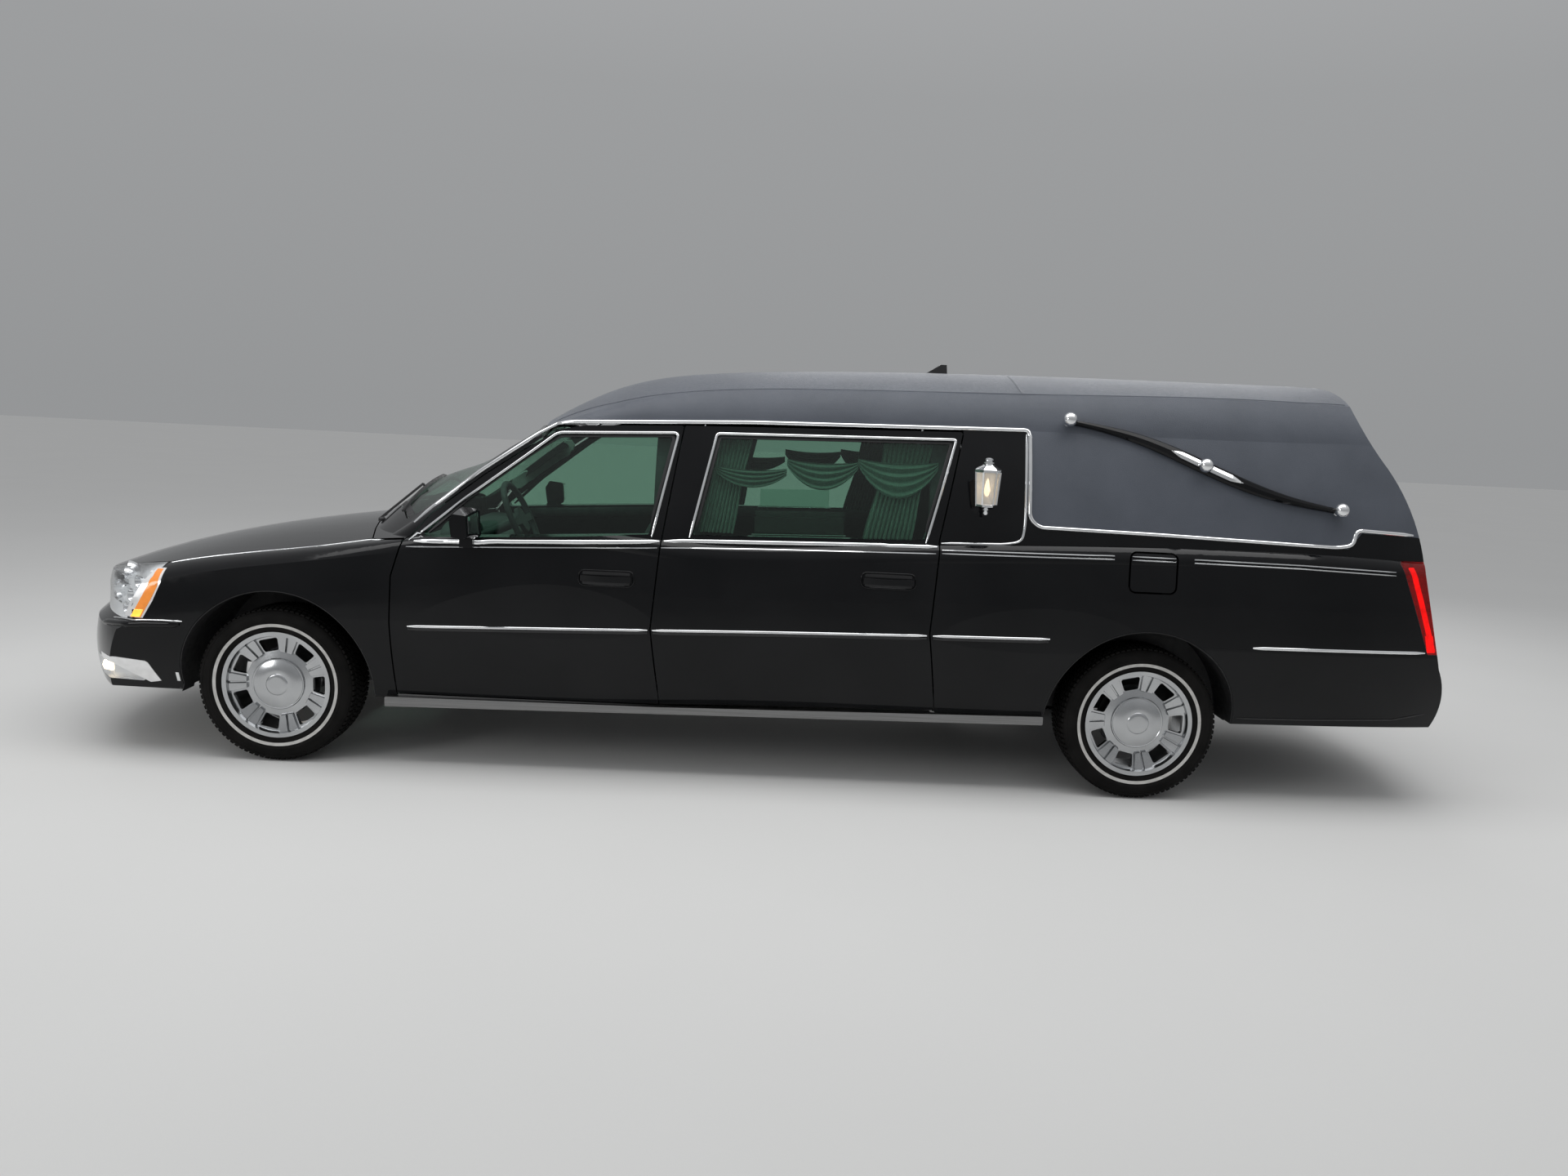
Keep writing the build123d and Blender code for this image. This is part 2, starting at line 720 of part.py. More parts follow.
# Load floor and wheel housings
deck_half = 600
deck_start = F + 1700
deck_foot = floor_height + seat_gap
with BuildPart() as deck:
    add(slab((deck_start, R + 1450), (-deck_half, deck_half), (deck_height - sheet_thickness, deck_height)))
    add(end_limits(60), mode=Mode.INTERSECT)
    add(slab((deck_start, deck_start + 30), (-deck_half, deck_half), (deck_foot, deck_height)))
    for edge in (-deck_half, deck_half):
        add(slab((deck_start + 30, R - 450), (edge - 10, edge + 10), (deck_foot, deck_height)))
keep("casket_deck", deck.part)
housing_radius = arch_radius + 10
housing_wall = 7
inward = Location((0, seat_gap, 0))


def wheel_housing(station, outer, inner):
    """Half drum over a left-hand wheel, closed on its inner side."""
    drum = cross_cylinder(station, axle_height, housing_radius, (outer, inner))
    room_radius = housing_radius - housing_wall
    room = cross_cylinder(station, axle_height, room_radius, (outer - 100, inner - housing_wall))
    reach = 500
    return (drum - room) & slab((station - reach, station + reach), (-half_width, 0), (axle_height, 900))


housing = wheel_housing(R, -835, -622) & hollow.moved(inward)
axle_notch = slab((R - 75, R + 75), (-700, -600), (0, 400))
liner = wheel_housing(F, -half_width, -465) & (inside & front_zone).moved(inward)
pair("wheelhouses", housing - axle_notch + liner)

# Engine, dashboard and seats
keep("engine_block", slab((F - 330, F + 130), (-230, 230), (400, 800)))
with BuildPart() as dashboard:
    with BuildSketch(Plane.XZ):
        with BuildLine():
            FilletPolyline(
                (F + 400, dash_foot), (F + 400, 915), (F + 540, 985), (F + 700, 985),
                (F + 760, 910), (F + 700, 800), (F + 640, dash_foot),
                radius=20, close=True,
            )
        make_face()
    extrude(amount=735, both=True)
keep("dashboard", dashboard.part)
column_rake = radians(25)
wheel_plane = Plane(
    origin=(F + 945, -390, 1060), x_dir=(0, 1, 0), z_dir=(cos(column_rake), 0, sin(column_rake))
)
with BuildPart() as steering_wheel:
    with BuildSketch(Plane(origin=wheel_plane.origin, x_dir=wheel_plane.z_dir, z_dir=(0, 1, 0))):
        with Locations((0, 180)):
            Circle(14)
    revolve(axis=Axis(wheel_plane.origin, wheel_plane.z_dir))
    with BuildSketch(wheel_plane.offset(-10)):
        Circle(60)
        Rectangle(340, 34)
    extrude(amount=20)
    with BuildSketch(wheel_plane.offset(-290)):
        Circle(22)
    extrude(amount=285)
    add(dashboard.part.moved(Location((seat_gap, 0, 0))), mode=Mode.SUBTRACT)
keep("steering_wheel", steering_wheel.part)
seat_side = (
    (F + 1040, 470), (F + 1040, 600), (F + 1440, 560), (F + 1610, 1080), (F + 1690, 1060), (F + 1560, 470),
)
with BuildPart() as seats:
    with BuildSketch(Plane.XZ.offset(120)):
        with BuildLine():
            FilletPolyline(*seat_side, radius=25, close=True)
        make_face()
    extrude(amount=480)
    with BuildSketch(Plane.XY.offset(floor_height + seat_gap)):
        with Locations((F + 1300, -360)):
            Rectangle(420, 380)
    extrude(amount=150)
pair("front_seats", seats.part)

# Wheels and tyres
spoke_count = 7
half_tread = tyre_width / 2
half_rim = rim_width / 2
window_inner = 148
window_outer = 206
window_half_angle = radians(12)
cap_radius = 104
boss_radius = 46
flange_radius = rim_radius + 6
hub_face = half_rim - 44
bore_radius = hub_bore + hub_clearance
disc_radius = 150
disc_face, disc_back = 14, 32
bell_radius = 66


def wheel_frame(station, side, half_track):
    """Plane through a wheel's axis, with its x outboard and its y up."""
    return Plane(origin=(station, side * half_track, axle_height), x_dir=(0, side, 0), z_dir=(side, 0, 0))


def make_tyre(plane):
    """Tyre turned about its axle, with rounded walls and shoulders."""
    bead = rim_radius + seat_gap
    with BuildPart() as tyre:
        with BuildSketch(plane):
            with BuildLine():
                Line((half_rim, bead), (-half_rim, bead))
                for side in (-1, 1):
                    heel = (side * half_rim, bead)
                    flange = (side * half_rim, bead + 8)
                    wall_foot = (side * (half_tread - 4), rim_radius + 30)
                    wall_bulge = (side * half_tread, rim_radius + 56)
                    wall_top = (side * (half_tread - 12), tyre_radius - 22)
                    shoulder = (side * (half_tread - 20), tyre_radius - 8)
                    tread_edge = (side * (half_tread - 38), tyre_radius - 3)
                    Polyline(heel, flange, wall_foot)
                    ThreePointArc(wall_foot, wall_bulge, wall_top)
                    ThreePointArc(wall_top, shoulder, tread_edge)
                ThreePointArc((-tread_edge[0], tread_edge[1]), (0, tyre_radius), tread_edge)
            make_face()
        revolve(axis=Axis(plane.origin, (0, 1, 0)))
    return tyre.part


with BuildSketch() as wheel_window:
    with BuildLine():
        FilletPolyline(
            (window_inner * cos(window_half_angle), -window_inner * sin(window_half_angle)),
            (window_outer * cos(window_half_angle), -window_outer * sin(window_half_angle)),
            (window_outer * cos(window_half_angle), window_outer * sin(window_half_angle)),
            (window_inner * cos(window_half_angle), window_inner * sin(window_half_angle)),
            radius=9, close=True,
        )
    make_face()


def make_wheel(plane, side):
    """Seven-spoke wheel with its hub and brake disc in one piece."""
    with BuildPart() as wheel:
        with BuildSketch(plane):
            with BuildLine():
                Polyline(
                    (-half_rim - 8, flange_radius), (-half_rim - 1, flange_radius),
                    (-half_rim - 1, rim_radius), (half_rim + 1, rim_radius),
                    (half_rim + 1, flange_radius), (half_rim + 8, flange_radius),
                    (half_rim + 6, rim_radius - 12), (half_rim - 20, rim_radius - 18),
                    (half_rim - 36, window_inner), (half_rim - 26, cap_radius),
                    (half_rim - 12, cap_radius - 14), (half_rim - 6, boss_radius), (half_rim - 6, 0),
                    (hub_face, 0), (hub_face, bore_radius), (-disc_back, bore_radius),
                    (-disc_back, disc_radius), (-disc_face, disc_radius), (-disc_face, bell_radius),
                    (half_rim - 56, bell_radius), (half_rim - 56, window_inner),
                    (hub_face, rim_radius - 20), (-half_rim + 14, rim_radius - 16),
                    (-half_rim - 6, rim_radius - 10),
                    close=True,
                )
            make_face()
        revolve(axis=Axis(plane.origin, (0, 1, 0)))
        face = Plane(origin=plane.origin, x_dir=(1, 0, 0), z_dir=(0, side, 0)).offset(half_rim - 60)
        with BuildSketch(face):
            with PolarLocations(0, spoke_count):
                add(wheel_window.sketch)
        extrude(amount=60, mode=Mode.SUBTRACT)
    return wheel.part


def make_spindle(plane, side, root):
    """Stub axle and upright behind a wheel."""
    back = Plane(origin=plane.origin, x_dir=(1, 0, 0), z_dir=(0, side, 0))
    with BuildPart() as spindle:
        with BuildSketch(back.offset(-root)):
            Circle(hub_bore)
        extrude(amount=root + hub_face - 4)
        with BuildSketch(back.offset(-root)):
            Circle(62)
        extrude(amount=root - 36)
        with BuildSketch(back.offset(-root)):
            Rectangle(70, 220)
        extrude(amount=26)
    return spindle.part


corners = (
    ("front_left", F, -1, track_front / 2),
    ("front_right", F, 1, track_front / 2),
    ("rear_left", R, -1, track_rear / 2),
    ("rear_right", R, 1, track_rear / 2),
)
upright_root = 96
for name, station, side, half_track in corners:
    plane = wheel_frame(station, side, half_track)
    keep(f"tyre_{name}", make_tyre(plane))
    keep(f"wheel_{name}", make_wheel(plane, side))
for name, station, side, half_track in corners[:2]:
    keep(f"knuckle_{name[6:]}", make_spindle(wheel_frame(station, side, half_track), side, upright_root))

# Suspension
with BuildPart() as rear_axle:
    for side in (-1, 1):
        add(make_spindle(wheel_frame(R, side, track_rear / 2), side, upright_root))
        arm_ends = sorted((side * 300, side * (track_rear / 2 - upright_root)))
        add(slab((R - 60, R + 60), arm_ends, (axle_height - 30, axle_height + 30)))
        add(slab((R - 480, R - 140), sorted((side * 200, side * 260)), (272, under_floor)))
    add(slab((R - 150, R + 150), (-320, 320), (axle_height - 70, axle_height + 70)))
keep("rear_axle", rear_axle.part)
knuckle_inner = track_front / 2 - upright_root
with BuildPart() as subframe:
    add(slab((F - 180, F + 180), (-360, 360), (230, 300)))
    add(slab((F - 130, F - 70), (-190, 190), (290, 400 - seat_gap)))
    for side in (-1, 1):
        rail = sorted((side * 300, side * 360))
        arm_ends = sorted((side * 320, side * (knuckle_inner + 26)))
        add(slab((F - 30, F + 30), arm_ends, (200, axle_height - 110 - seat_gap)))
        add(slab((F - 60, F + 60), rail, (200, 240)))
        add(slab((F + 120, F + 520), rail, (250, under_floor)))
keep("front_subframe", subframe.part)

# Exhaust and fuel tank
keep("fuel_tank", slab((R - 930, R - 500), (-560, 560), (250, under_floor)))
with BuildPart() as exhaust:
    with BuildSketch(Plane.YZ.offset(F + 300)):
        with Locations((120, 262)):
            Circle(28)
    extrude(amount=R - 960 - F - 300)
    for hanger in (F + 800, F + 2300):
        add(slab((hanger, hanger + 20), (105, 135), (270, under_floor)))
keep("exhaust", exhaust.part)

# Landau bars and coach lamps
ball_radius = 32
stem_radius = 13
stem_length = 8
bar_reach = (6, 26)
balls = ((R - 377, 1630), (R + 207, 1463), (R + 794, 1303))
bar_band = (upper_hull(-bar_reach[1]) & left_half) - upper_hull(-bar_reach[0])


def wall_plane(station, height):
    """Plane on the left wall of the body at a side-view point, facing outwards."""
    point, normal = outside.find_intersection_points(Axis((station, -2 * half_width, height), (0, 1, 0)))[0]
    if normal.Y > 0:
        normal = -normal
    return Plane(origin=point, z_dir=normal)


with BuildPart() as bar_area:
    with BuildSketch(Plane.XZ):
        with BuildLine():
            Polyline((R - 377, 1619), (R - 377, 1641))
            ThreePointArc((R - 377, 1641), (R - 85, 1586), (R + 207, 1492))
            ThreePointArc((R + 207, 1492), (R + 500, 1384), (R + 794, 1314))
            Polyline((R + 794, 1314), (R + 794, 1292))
            ThreePointArc((R + 794, 1292), (R + 500, 1334), (R + 207, 1434))
            ThreePointArc((R + 207, 1434), (R - 85, 1534), (R - 377, 1619))
        make_face()
    extrude(amount=half_width)
with BuildPart() as landau:
    add(bar_band)
    add(bar_area.part, mode=Mode.INTERSECT)
    for station, height in balls:
        wall = wall_plane(station, height)
        with BuildSketch(wall.offset(seat_gap)):
            Circle(stem_radius)
        extrude(amount=stem_length + ball_radius)
        with Locations(wall.offset(stem_length + ball_radius).origin):
            Sphere(ball_radius)
pair("landau_bars", landau.part)
lamp_station = R - 740
lamp_face = -905
lamp_arm_height = 1330
with BuildPart() as coach_lamp:
    for height, across in ((1257, 45), (1416, 56)):
        with BuildSketch(Plane(origin=(lamp_station, lamp_face, height), x_dir=(1, 0, 0), z_dir=(0, 0, 1))):
            RegularPolygon(across, 6)
    loft()
    for height, top, radius in ((1222, 1257, 20), (1416, 1467, 26)):
        with BuildSketch(Plane(origin=(lamp_station, lamp_face, height), x_dir=(1, 0, 0), z_dir=(0, 0, 1))):
            Circle(radius)
        extrude(amount=top - height)
    lamp_wall = wall_plane(lamp_station, lamp_arm_height)
    with BuildSketch(lamp_wall.offset(seat_gap)):
        Circle(30)
    extrude(amount=8)
    with BuildSketch(lamp_wall.offset(seat_gap)):
        Circle(11)
    extrude(amount=40)
pair("coach_lamps", coach_lamp.part)

# Roof fin
fin_top = roof_height + 26
fin_root = outside.find_intersection_points(Axis((R - 867, -12, 3 * roof_height), (0, 0, -1)))[0][0].Z + 2
with BuildPart() as fin:
    with BuildSketch(Plane.XZ.offset(-12)):
        with BuildLine():
            Polyline(
                (R - 917, fin_root), (R - 818, fin_root), (R - 822, fin_top), (R - 850, fin_top),
                close=True,
            )
        make_face()
    extrude(amount=24)
keep("roof_fin", fin.part)
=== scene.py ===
# %% [markdown]
# This lesson dresses a coach-built hearse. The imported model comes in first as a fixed
# frame: every body, hinge and wheel is already where it belongs, in metres, with X
# running rearwards, Y to the right and Z up. All that follows adds materials, trim and
# soft furnishing to that frame, and nothing in the frame itself is moved.

# %% Load the frame
from math import cos, exp, pi, radians, sin

import bmesh
import bpy
from mathutils import Matrix, Vector
from mathutils.bvhtree import BVHTree
from mathutils.geometry import interpolate_bezier


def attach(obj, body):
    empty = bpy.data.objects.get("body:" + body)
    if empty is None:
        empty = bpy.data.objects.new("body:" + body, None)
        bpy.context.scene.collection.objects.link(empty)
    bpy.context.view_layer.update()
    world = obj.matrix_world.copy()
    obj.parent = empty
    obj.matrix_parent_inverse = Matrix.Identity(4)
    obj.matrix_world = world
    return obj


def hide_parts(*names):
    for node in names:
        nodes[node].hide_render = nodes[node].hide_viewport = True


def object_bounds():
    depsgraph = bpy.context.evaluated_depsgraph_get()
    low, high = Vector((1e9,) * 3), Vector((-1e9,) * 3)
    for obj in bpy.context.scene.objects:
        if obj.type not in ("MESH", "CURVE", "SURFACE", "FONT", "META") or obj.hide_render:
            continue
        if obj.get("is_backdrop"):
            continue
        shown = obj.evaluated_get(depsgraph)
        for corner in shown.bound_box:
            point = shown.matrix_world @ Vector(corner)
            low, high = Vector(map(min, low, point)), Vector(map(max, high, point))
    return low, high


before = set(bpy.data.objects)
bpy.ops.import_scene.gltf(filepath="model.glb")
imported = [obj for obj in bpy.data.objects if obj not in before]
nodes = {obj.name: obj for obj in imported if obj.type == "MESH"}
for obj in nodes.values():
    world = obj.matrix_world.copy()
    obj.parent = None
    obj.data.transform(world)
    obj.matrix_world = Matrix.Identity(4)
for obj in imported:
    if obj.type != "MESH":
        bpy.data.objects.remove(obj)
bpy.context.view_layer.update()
scene = bpy.context.scene

FRONT_AXLE = -2.085
REAR_AXLE = 1.675
AXLE_HEIGHT = 0.340

# %% [markdown]
# The photographer stood about five metres from the left side with a wide phone lens,
# looking slightly down and holding the phone a little crooked. A pinhole camera fitted
# to the wheels, sills and roof line gives its place, yaw, pitch and roll. A wide lens
# bends nothing in Blender, so those four numbers are enough to line the car up.

# %% Camera
CAMERA_PLACE = Vector((0.039, -5.899, 1.603))
YAW, PITCH, ROLL = radians(0.65), radians(8.35), radians(2.77)
FOCAL_PIXELS, PHOTO_WIDTH, SENSOR_WIDTH = 1442, 1920, 36

forward = Vector((sin(YAW) * cos(PITCH), cos(YAW) * cos(PITCH), -sin(PITCH)))
level_right = Vector((cos(YAW), -sin(YAW), 0))
level_up = level_right.cross(forward)
right = level_right * cos(ROLL) + level_up * sin(ROLL)
up = level_up * cos(ROLL) - level_right * sin(ROLL)
camera_data = bpy.data.cameras.new("photo_camera")
camera_data.sensor_width = SENSOR_WIDTH
camera_data.lens = SENSOR_WIDTH * FOCAL_PIXELS / PHOTO_WIDTH
camera = bpy.data.objects.new("photo_camera", camera_data)
scene.collection.objects.link(camera)
camera.matrix_world = Matrix((
    (right.x, up.x, -forward.x, CAMERA_PLACE.x),
    (right.y, up.y, -forward.y, CAMERA_PLACE.y),
    (right.z, up.z, -forward.z, CAMERA_PLACE.z),
    (0, 0, 0, 1),
))
scene.camera = camera
print("lens", round(camera_data.lens, 2), "mm")

# %% [markdown]
# Worlds and materials are both trees of nodes. Two helpers keep those trees short to
# write: one adds a node with its inputs already set, and one gives a colour ramp its
# stops.

# %% Node helpers
def set_inputs(node, values):
    """Sets inputs by name. A name is written with _ for each space."""
    for socket, value in values.items():
        node.inputs[socket.replace("_", " ")].default_value = value
    return node


def add_node(tree, kind, **values):
    """A shader node in a tree, with some inputs set."""
    return set_inputs(tree.nodes.new("ShaderNode" + kind), values)


def set_ramp(ramp, first, last, *between):
    """Gives a colour ramp its stops, each a position and a colour."""
    elements = ramp.color_ramp.elements
    for element, (position, colour) in zip(list(elements), (first, last)):
        element.position = position
        element.color = (*colour, 1)
    for position, colour in between:
        elements.new(position).color = (*colour, 1)


print("node helpers ready")

# %% [markdown]
# Gloss black shows only what it mirrors, so the light is part of the finish. A real car
# studio hangs one huge soft panel over the roof and keeps the walls calm: the panel
# draws the shoulder line, and the doors stay dark. The world here is a plain gradient,
# pale grey at the horizon and brighter overhead.

# %% Studio world
HORIZON, LOW_SKY, OVERHEAD = (0.50, 0.51, 0.52), (0.56, 0.57, 0.58), (0.95, 0.96, 0.98)
WORLD_STRENGTH = 0.60

world = bpy.data.worlds.new("studio")
scene.world = world
world.use_nodes = True
sky = world.node_tree
sky.nodes.clear()
place = add_node(sky, "TexCoord")
split = add_node(sky, "SeparateXYZ")
ramp = add_node(sky, "ValToRGB")
set_ramp(ramp, (0.0, HORIZON), (0.75, OVERHEAD), (0.25, LOW_SKY))
background = add_node(sky, "Background", Strength=WORLD_STRENGTH)
output = add_node(sky, "OutputWorld")
sky.links.new(place.outputs["Generated"], split.inputs[0])
sky.links.new(split.outputs["Z"], ramp.inputs[0])
sky.links.new(ramp.outputs[0], background.inputs["Color"])
sky.links.new(background.outputs[0], output.inputs[0])
scene.view_settings.view_transform = "Standard"
print("world nodes:", len(sky.nodes))

# %% [markdown]
# Three wide area lamps do the rest. The first hangs over the roof, the second fills the
# front from the camera's side, and the third draws the far edge of the roof.

# %% Studio lamps
LAMPS = (
    # name, place, target, width, depth, power in watts
    ("roof_panel", (0.0, -1.2, 5.2), (0, 0, 0.6), 9.0, 3.0, 215),
    ("camera_fill", (-7.5, -6.5, 3.4), (-1.5, 0, 0.6), 3.0, 2.0, 110),
    ("back_rim", (2.5, 6.5, 4.0), (0, 0, 0.9), 6.0, 2.0, 100),
)
for name, place, target, width, depth, power in LAMPS:
    data = bpy.data.lights.new(name, "AREA")
    data.shape = "RECTANGLE"
    data.size, data.size_y, data.energy = width, depth, power
    lamp = bpy.data.objects.new(name, data)
    scene.collection.objects.link(lamp)
    lamp.location = place
    lamp.rotation_euler = (Vector(target) - Vector(place)).to_track_quat("-Z", "Y").to_euler()
print("lamps:", len(LAMPS))

# %% [markdown]
# Every finish starts from the same small kit: a Principled shader, the object's own
# coordinates, and noise that moves colour, roughness and bump by a little. The frame's
# pieces sit at the origin, so Object coordinates are metres, and a scale of 400 is a
# grain of about two and a half millimetres wherever the piece is.

# %% New finish and its patterns
def new_finish(name, base, roughness, metallic=0.0, **extra):
    """A Principled material with its own sockets set."""
    material = bpy.data.materials.new(name)
    material.use_nodes = True
    values = {"Base_Color": (*base, 1), "Roughness": roughness, "Metallic": metallic}
    set_inputs(material.node_tree.nodes["Principled BSDF"], {**values, **extra})
    return material


def noise(scale, detail=3.0, stretch=(1, 1, 1)):
    """Soft noise, finer with a larger scale."""
    return "TexNoise", scale, detail, stretch


def cells(scale, detail=2.0):
    """Rounded cells, like the grain of leather or moulded plastic."""
    return "TexVoronoi", scale, detail, (1, 1, 1)


def pattern_of(material, pattern):
    """Output of a noise or cells pattern in the object's own metres."""
    kind, scale, detail, stretch = pattern
    tree = material.node_tree
    place = add_node(tree, "TexCoord")
    mapping = add_node(tree, "Mapping", Scale=stretch)
    texture = add_node(tree, kind, Scale=scale, Detail=detail)
    tree.links.new(place.outputs["Object"], mapping.inputs[0])
    tree.links.new(mapping.outputs[0], texture.inputs["Vector"])
    return texture.outputs["Distance" if kind == "TexVoronoi" else 0]


print("patterns:", noise(400)[0], cells(400)[0])

# %% Vary and raise a finish
def spread(material, socket, pattern, low, high):
    """Drives a colour or a number of the shader between two values."""
    tree = material.node_tree
    if isinstance(low, tuple):
        reach = add_node(tree, "ValToRGB")
        set_ramp(reach, (0.32, low), (0.68, high))
    else:
        reach = add_node(tree, "MapRange", From_Min=0.3, From_Max=0.7, To_Min=low, To_Max=high)
    tree.links.new(pattern_of(material, pattern), reach.inputs[0])
    tree.links.new(reach.outputs[0], tree.nodes["Principled BSDF"].inputs[socket])


def bump(material, pattern, depth, strength=1.0):
    """Relief of a given depth in metres."""
    tree = material.node_tree
    relief = add_node(tree, "Bump", Strength=strength, Distance=depth)
    tree.links.new(pattern_of(material, pattern), relief.inputs["Height"])
    tree.links.new(relief.outputs[0], tree.nodes["Principled BSDF"].inputs["Normal"])


print("a finish can vary its colour and roughness, and be raised")

# %% [markdown]
# The studio floor is a wide sheet of pale matt card, so the car's shadow stays soft and
# the paint mirrors something calm.

# %% Studio floor
FLOOR_REACH = 45.0
floor_mesh = bpy.data.meshes.new("studio_floor")
floor_mesh.from_pydata([(x * FLOOR_REACH, y * FLOOR_REACH, 0)
                        for x, y in ((-1, -1), (1, -1), (1, 1), (-1, 1))], [], [(0, 1, 2, 3)])
floor = bpy.data.objects.new("studio_floor", floor_mesh)
scene.collection.objects.link(floor)
floor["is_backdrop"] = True
pale_floor = new_finish("pale_floor", (0.66, 0.66, 0.65), 0.9, Specular_IOR_Level=0.2)
spread(pale_floor, "Base Color", noise(0.8, 3.0), (0.655, 0.655, 0.645), (0.665, 0.665, 0.655))
bump(pale_floor, noise(120.0, 4.0), 0.001, 0.3)
floor_mesh.materials.append(pale_floor)
print("floor:", 2 * FLOOR_REACH, "m wide")

# %% [markdown]
# Car paint is a dark coat under clear lacquer. The lacquer gives the sharp mirror, so the
# shader gets a light coat layer over a nearly black base. Real lacquer is never quite
# flat: a very shallow ripple breaks the edges of the reflections. The padded roof is
# grained vinyl, which shines only at a low angle.

# %% Paint and vinyl
black_paint = new_finish("black_paint", (0.004, 0.004, 0.005), 0.12, Coat_Weight=0.20,
                         Coat_Roughness=0.02, Coat_IOR=1.40, Specular_IOR_Level=0.17)
spread(black_paint, "Base Color", noise(2.2, 4.0), (0.0025, 0.0028, 0.0035), (0.006, 0.0062, 0.007))
spread(black_paint, "Roughness", noise(9.0), 0.06, 0.12)
bump(black_paint, noise(160.0, 1.0), 0.00002, 0.35)

roof_vinyl = new_finish("roof_vinyl", (0.05, 0.056, 0.068), 0.50, Sheen_Weight=0.20,
                        Sheen_Roughness=0.4)
spread(roof_vinyl, "Base Color", noise(5.0, 6.0), (0.057, 0.066, 0.084), (0.071, 0.081, 0.102))
spread(roof_vinyl, "Roughness", noise(60.0, 4.0), 0.44, 0.56)
bump(roof_vinyl, cells(420.0), 0.0006, 0.7)
print("made:", black_paint.name, roof_vinyl.name)

# %% [markdown]
# Five metals are on show: bright chrome, satin metal brushed along the sills, painted
# silver on the wheels, and bare steel and cast iron underneath. Brushing is noise
# stretched along one axis.

# %% Metals
chrome = new_finish("chrome", (0.86, 0.87, 0.88), 0.07, 1.0)
spread(chrome, "Roughness", noise(35.0), 0.05, 0.12)
spread(chrome, "Base Color", noise(8.0), (0.78, 0.79, 0.80), (0.90, 0.91, 0.92))

BRUSHED = noise(60.0, 4.0, stretch=(0.05, 1, 6))
satin_metal = new_finish("satin_metal", (0.23, 0.23, 0.23), 0.34, 1.0)
spread(satin_metal, "Roughness", BRUSHED, 0.27, 0.42)
spread(satin_metal, "Base Color", BRUSHED, (0.19, 0.19, 0.19), (0.27, 0.27, 0.27))

wheel_metal = new_finish("wheel_metal", (0.50, 0.51, 0.52), 0.23, 1.0)
spread(wheel_metal, "Base Color", noise(9.0), (0.46, 0.47, 0.48), (0.54, 0.55, 0.56))
spread(wheel_metal, "Roughness", noise(12.0), 0.20, 0.26)

bare_steel = new_finish("bare_steel", (0.20, 0.20, 0.205), 0.5, 0.8)
spread(bare_steel, "Base Color", noise(9.0, 6.0), (0.12, 0.12, 0.12), (0.26, 0.26, 0.265))
spread(bare_steel, "Roughness", noise(30.0, 4.0), 0.42, 0.62)

cast_metal = new_finish("cast_metal", (0.16, 0.16, 0.16), 0.62, 0.7)
spread(cast_metal, "Base Color", noise(24.0, 6.0), (0.10, 0.10, 0.10), (0.22, 0.21, 0.20))
bump(cast_metal, noise(220.0, 4.0), 0.0006, 0.7)
print("finishes so far:", len(bpy.data.materials))

# %% [markdown]
# Plastics and rubber are rough, with a fine moulded grain. Leather has larger cells, and
# carpet is noise with a deep relief.

# %% Plastic, rubber and cabin finishes
dark_plastic = new_finish("dark_plastic", (0.016, 0.016, 0.017), 0.48)
spread(dark_plastic, "Roughness", noise(40.0), 0.40, 0.58)
bump(dark_plastic, cells(900.0), 0.0002, 0.5)

tyre_rubber = new_finish("tyre_rubber", (0.006, 0.0055, 0.005), 0.75, Specular_IOR_Level=0.12)
spread(tyre_rubber, "Base Color", noise(12.0, 6.0), (0.004, 0.0038, 0.0036), (0.009, 0.0084, 0.008))
bump(tyre_rubber, noise(500.0), 0.0002, 0.5)

cabin_trim = new_finish("cabin_trim", (0.05, 0.052, 0.056), 0.6)
spread(cabin_trim, "Base Color", noise(20.0, 4.0), (0.038, 0.040, 0.044), (0.062, 0.064, 0.070))
bump(cabin_trim, cells(700.0), 0.0003, 0.6)

seat_leather = new_finish("seat_leather", (0.06, 0.06, 0.065), 0.42)
spread(seat_leather, "Base Color", noise(16.0, 5.0), (0.045, 0.045, 0.05), (0.085, 0.085, 0.09))
bump(seat_leather, cells(480.0, 3.0), 0.0005, 0.6)

deck_carpet = new_finish("deck_carpet", (0.07, 0.07, 0.078), 0.95, Sheen_Weight=0.3)
spread(deck_carpet, "Base Color", noise(380.0, 4.0), (0.045, 0.045, 0.05), (0.10, 0.10, 0.11))
bump(deck_carpet, noise(600.0), 0.002, 0.8)
print("finishes so far:", len(bpy.data.materials))

# %% [markdown]
# Tinted car glass is thin, so light should go straight through it without bending. A
# see-through layer with a green tint and a mirror layer mixed by angle gives that, and
# it lets daylight into the cabin without noise. Lamp lenses use the same recipe with
# other tints.

# %% Clear glass and lenses
GRAZING_MIRROR = 0.85


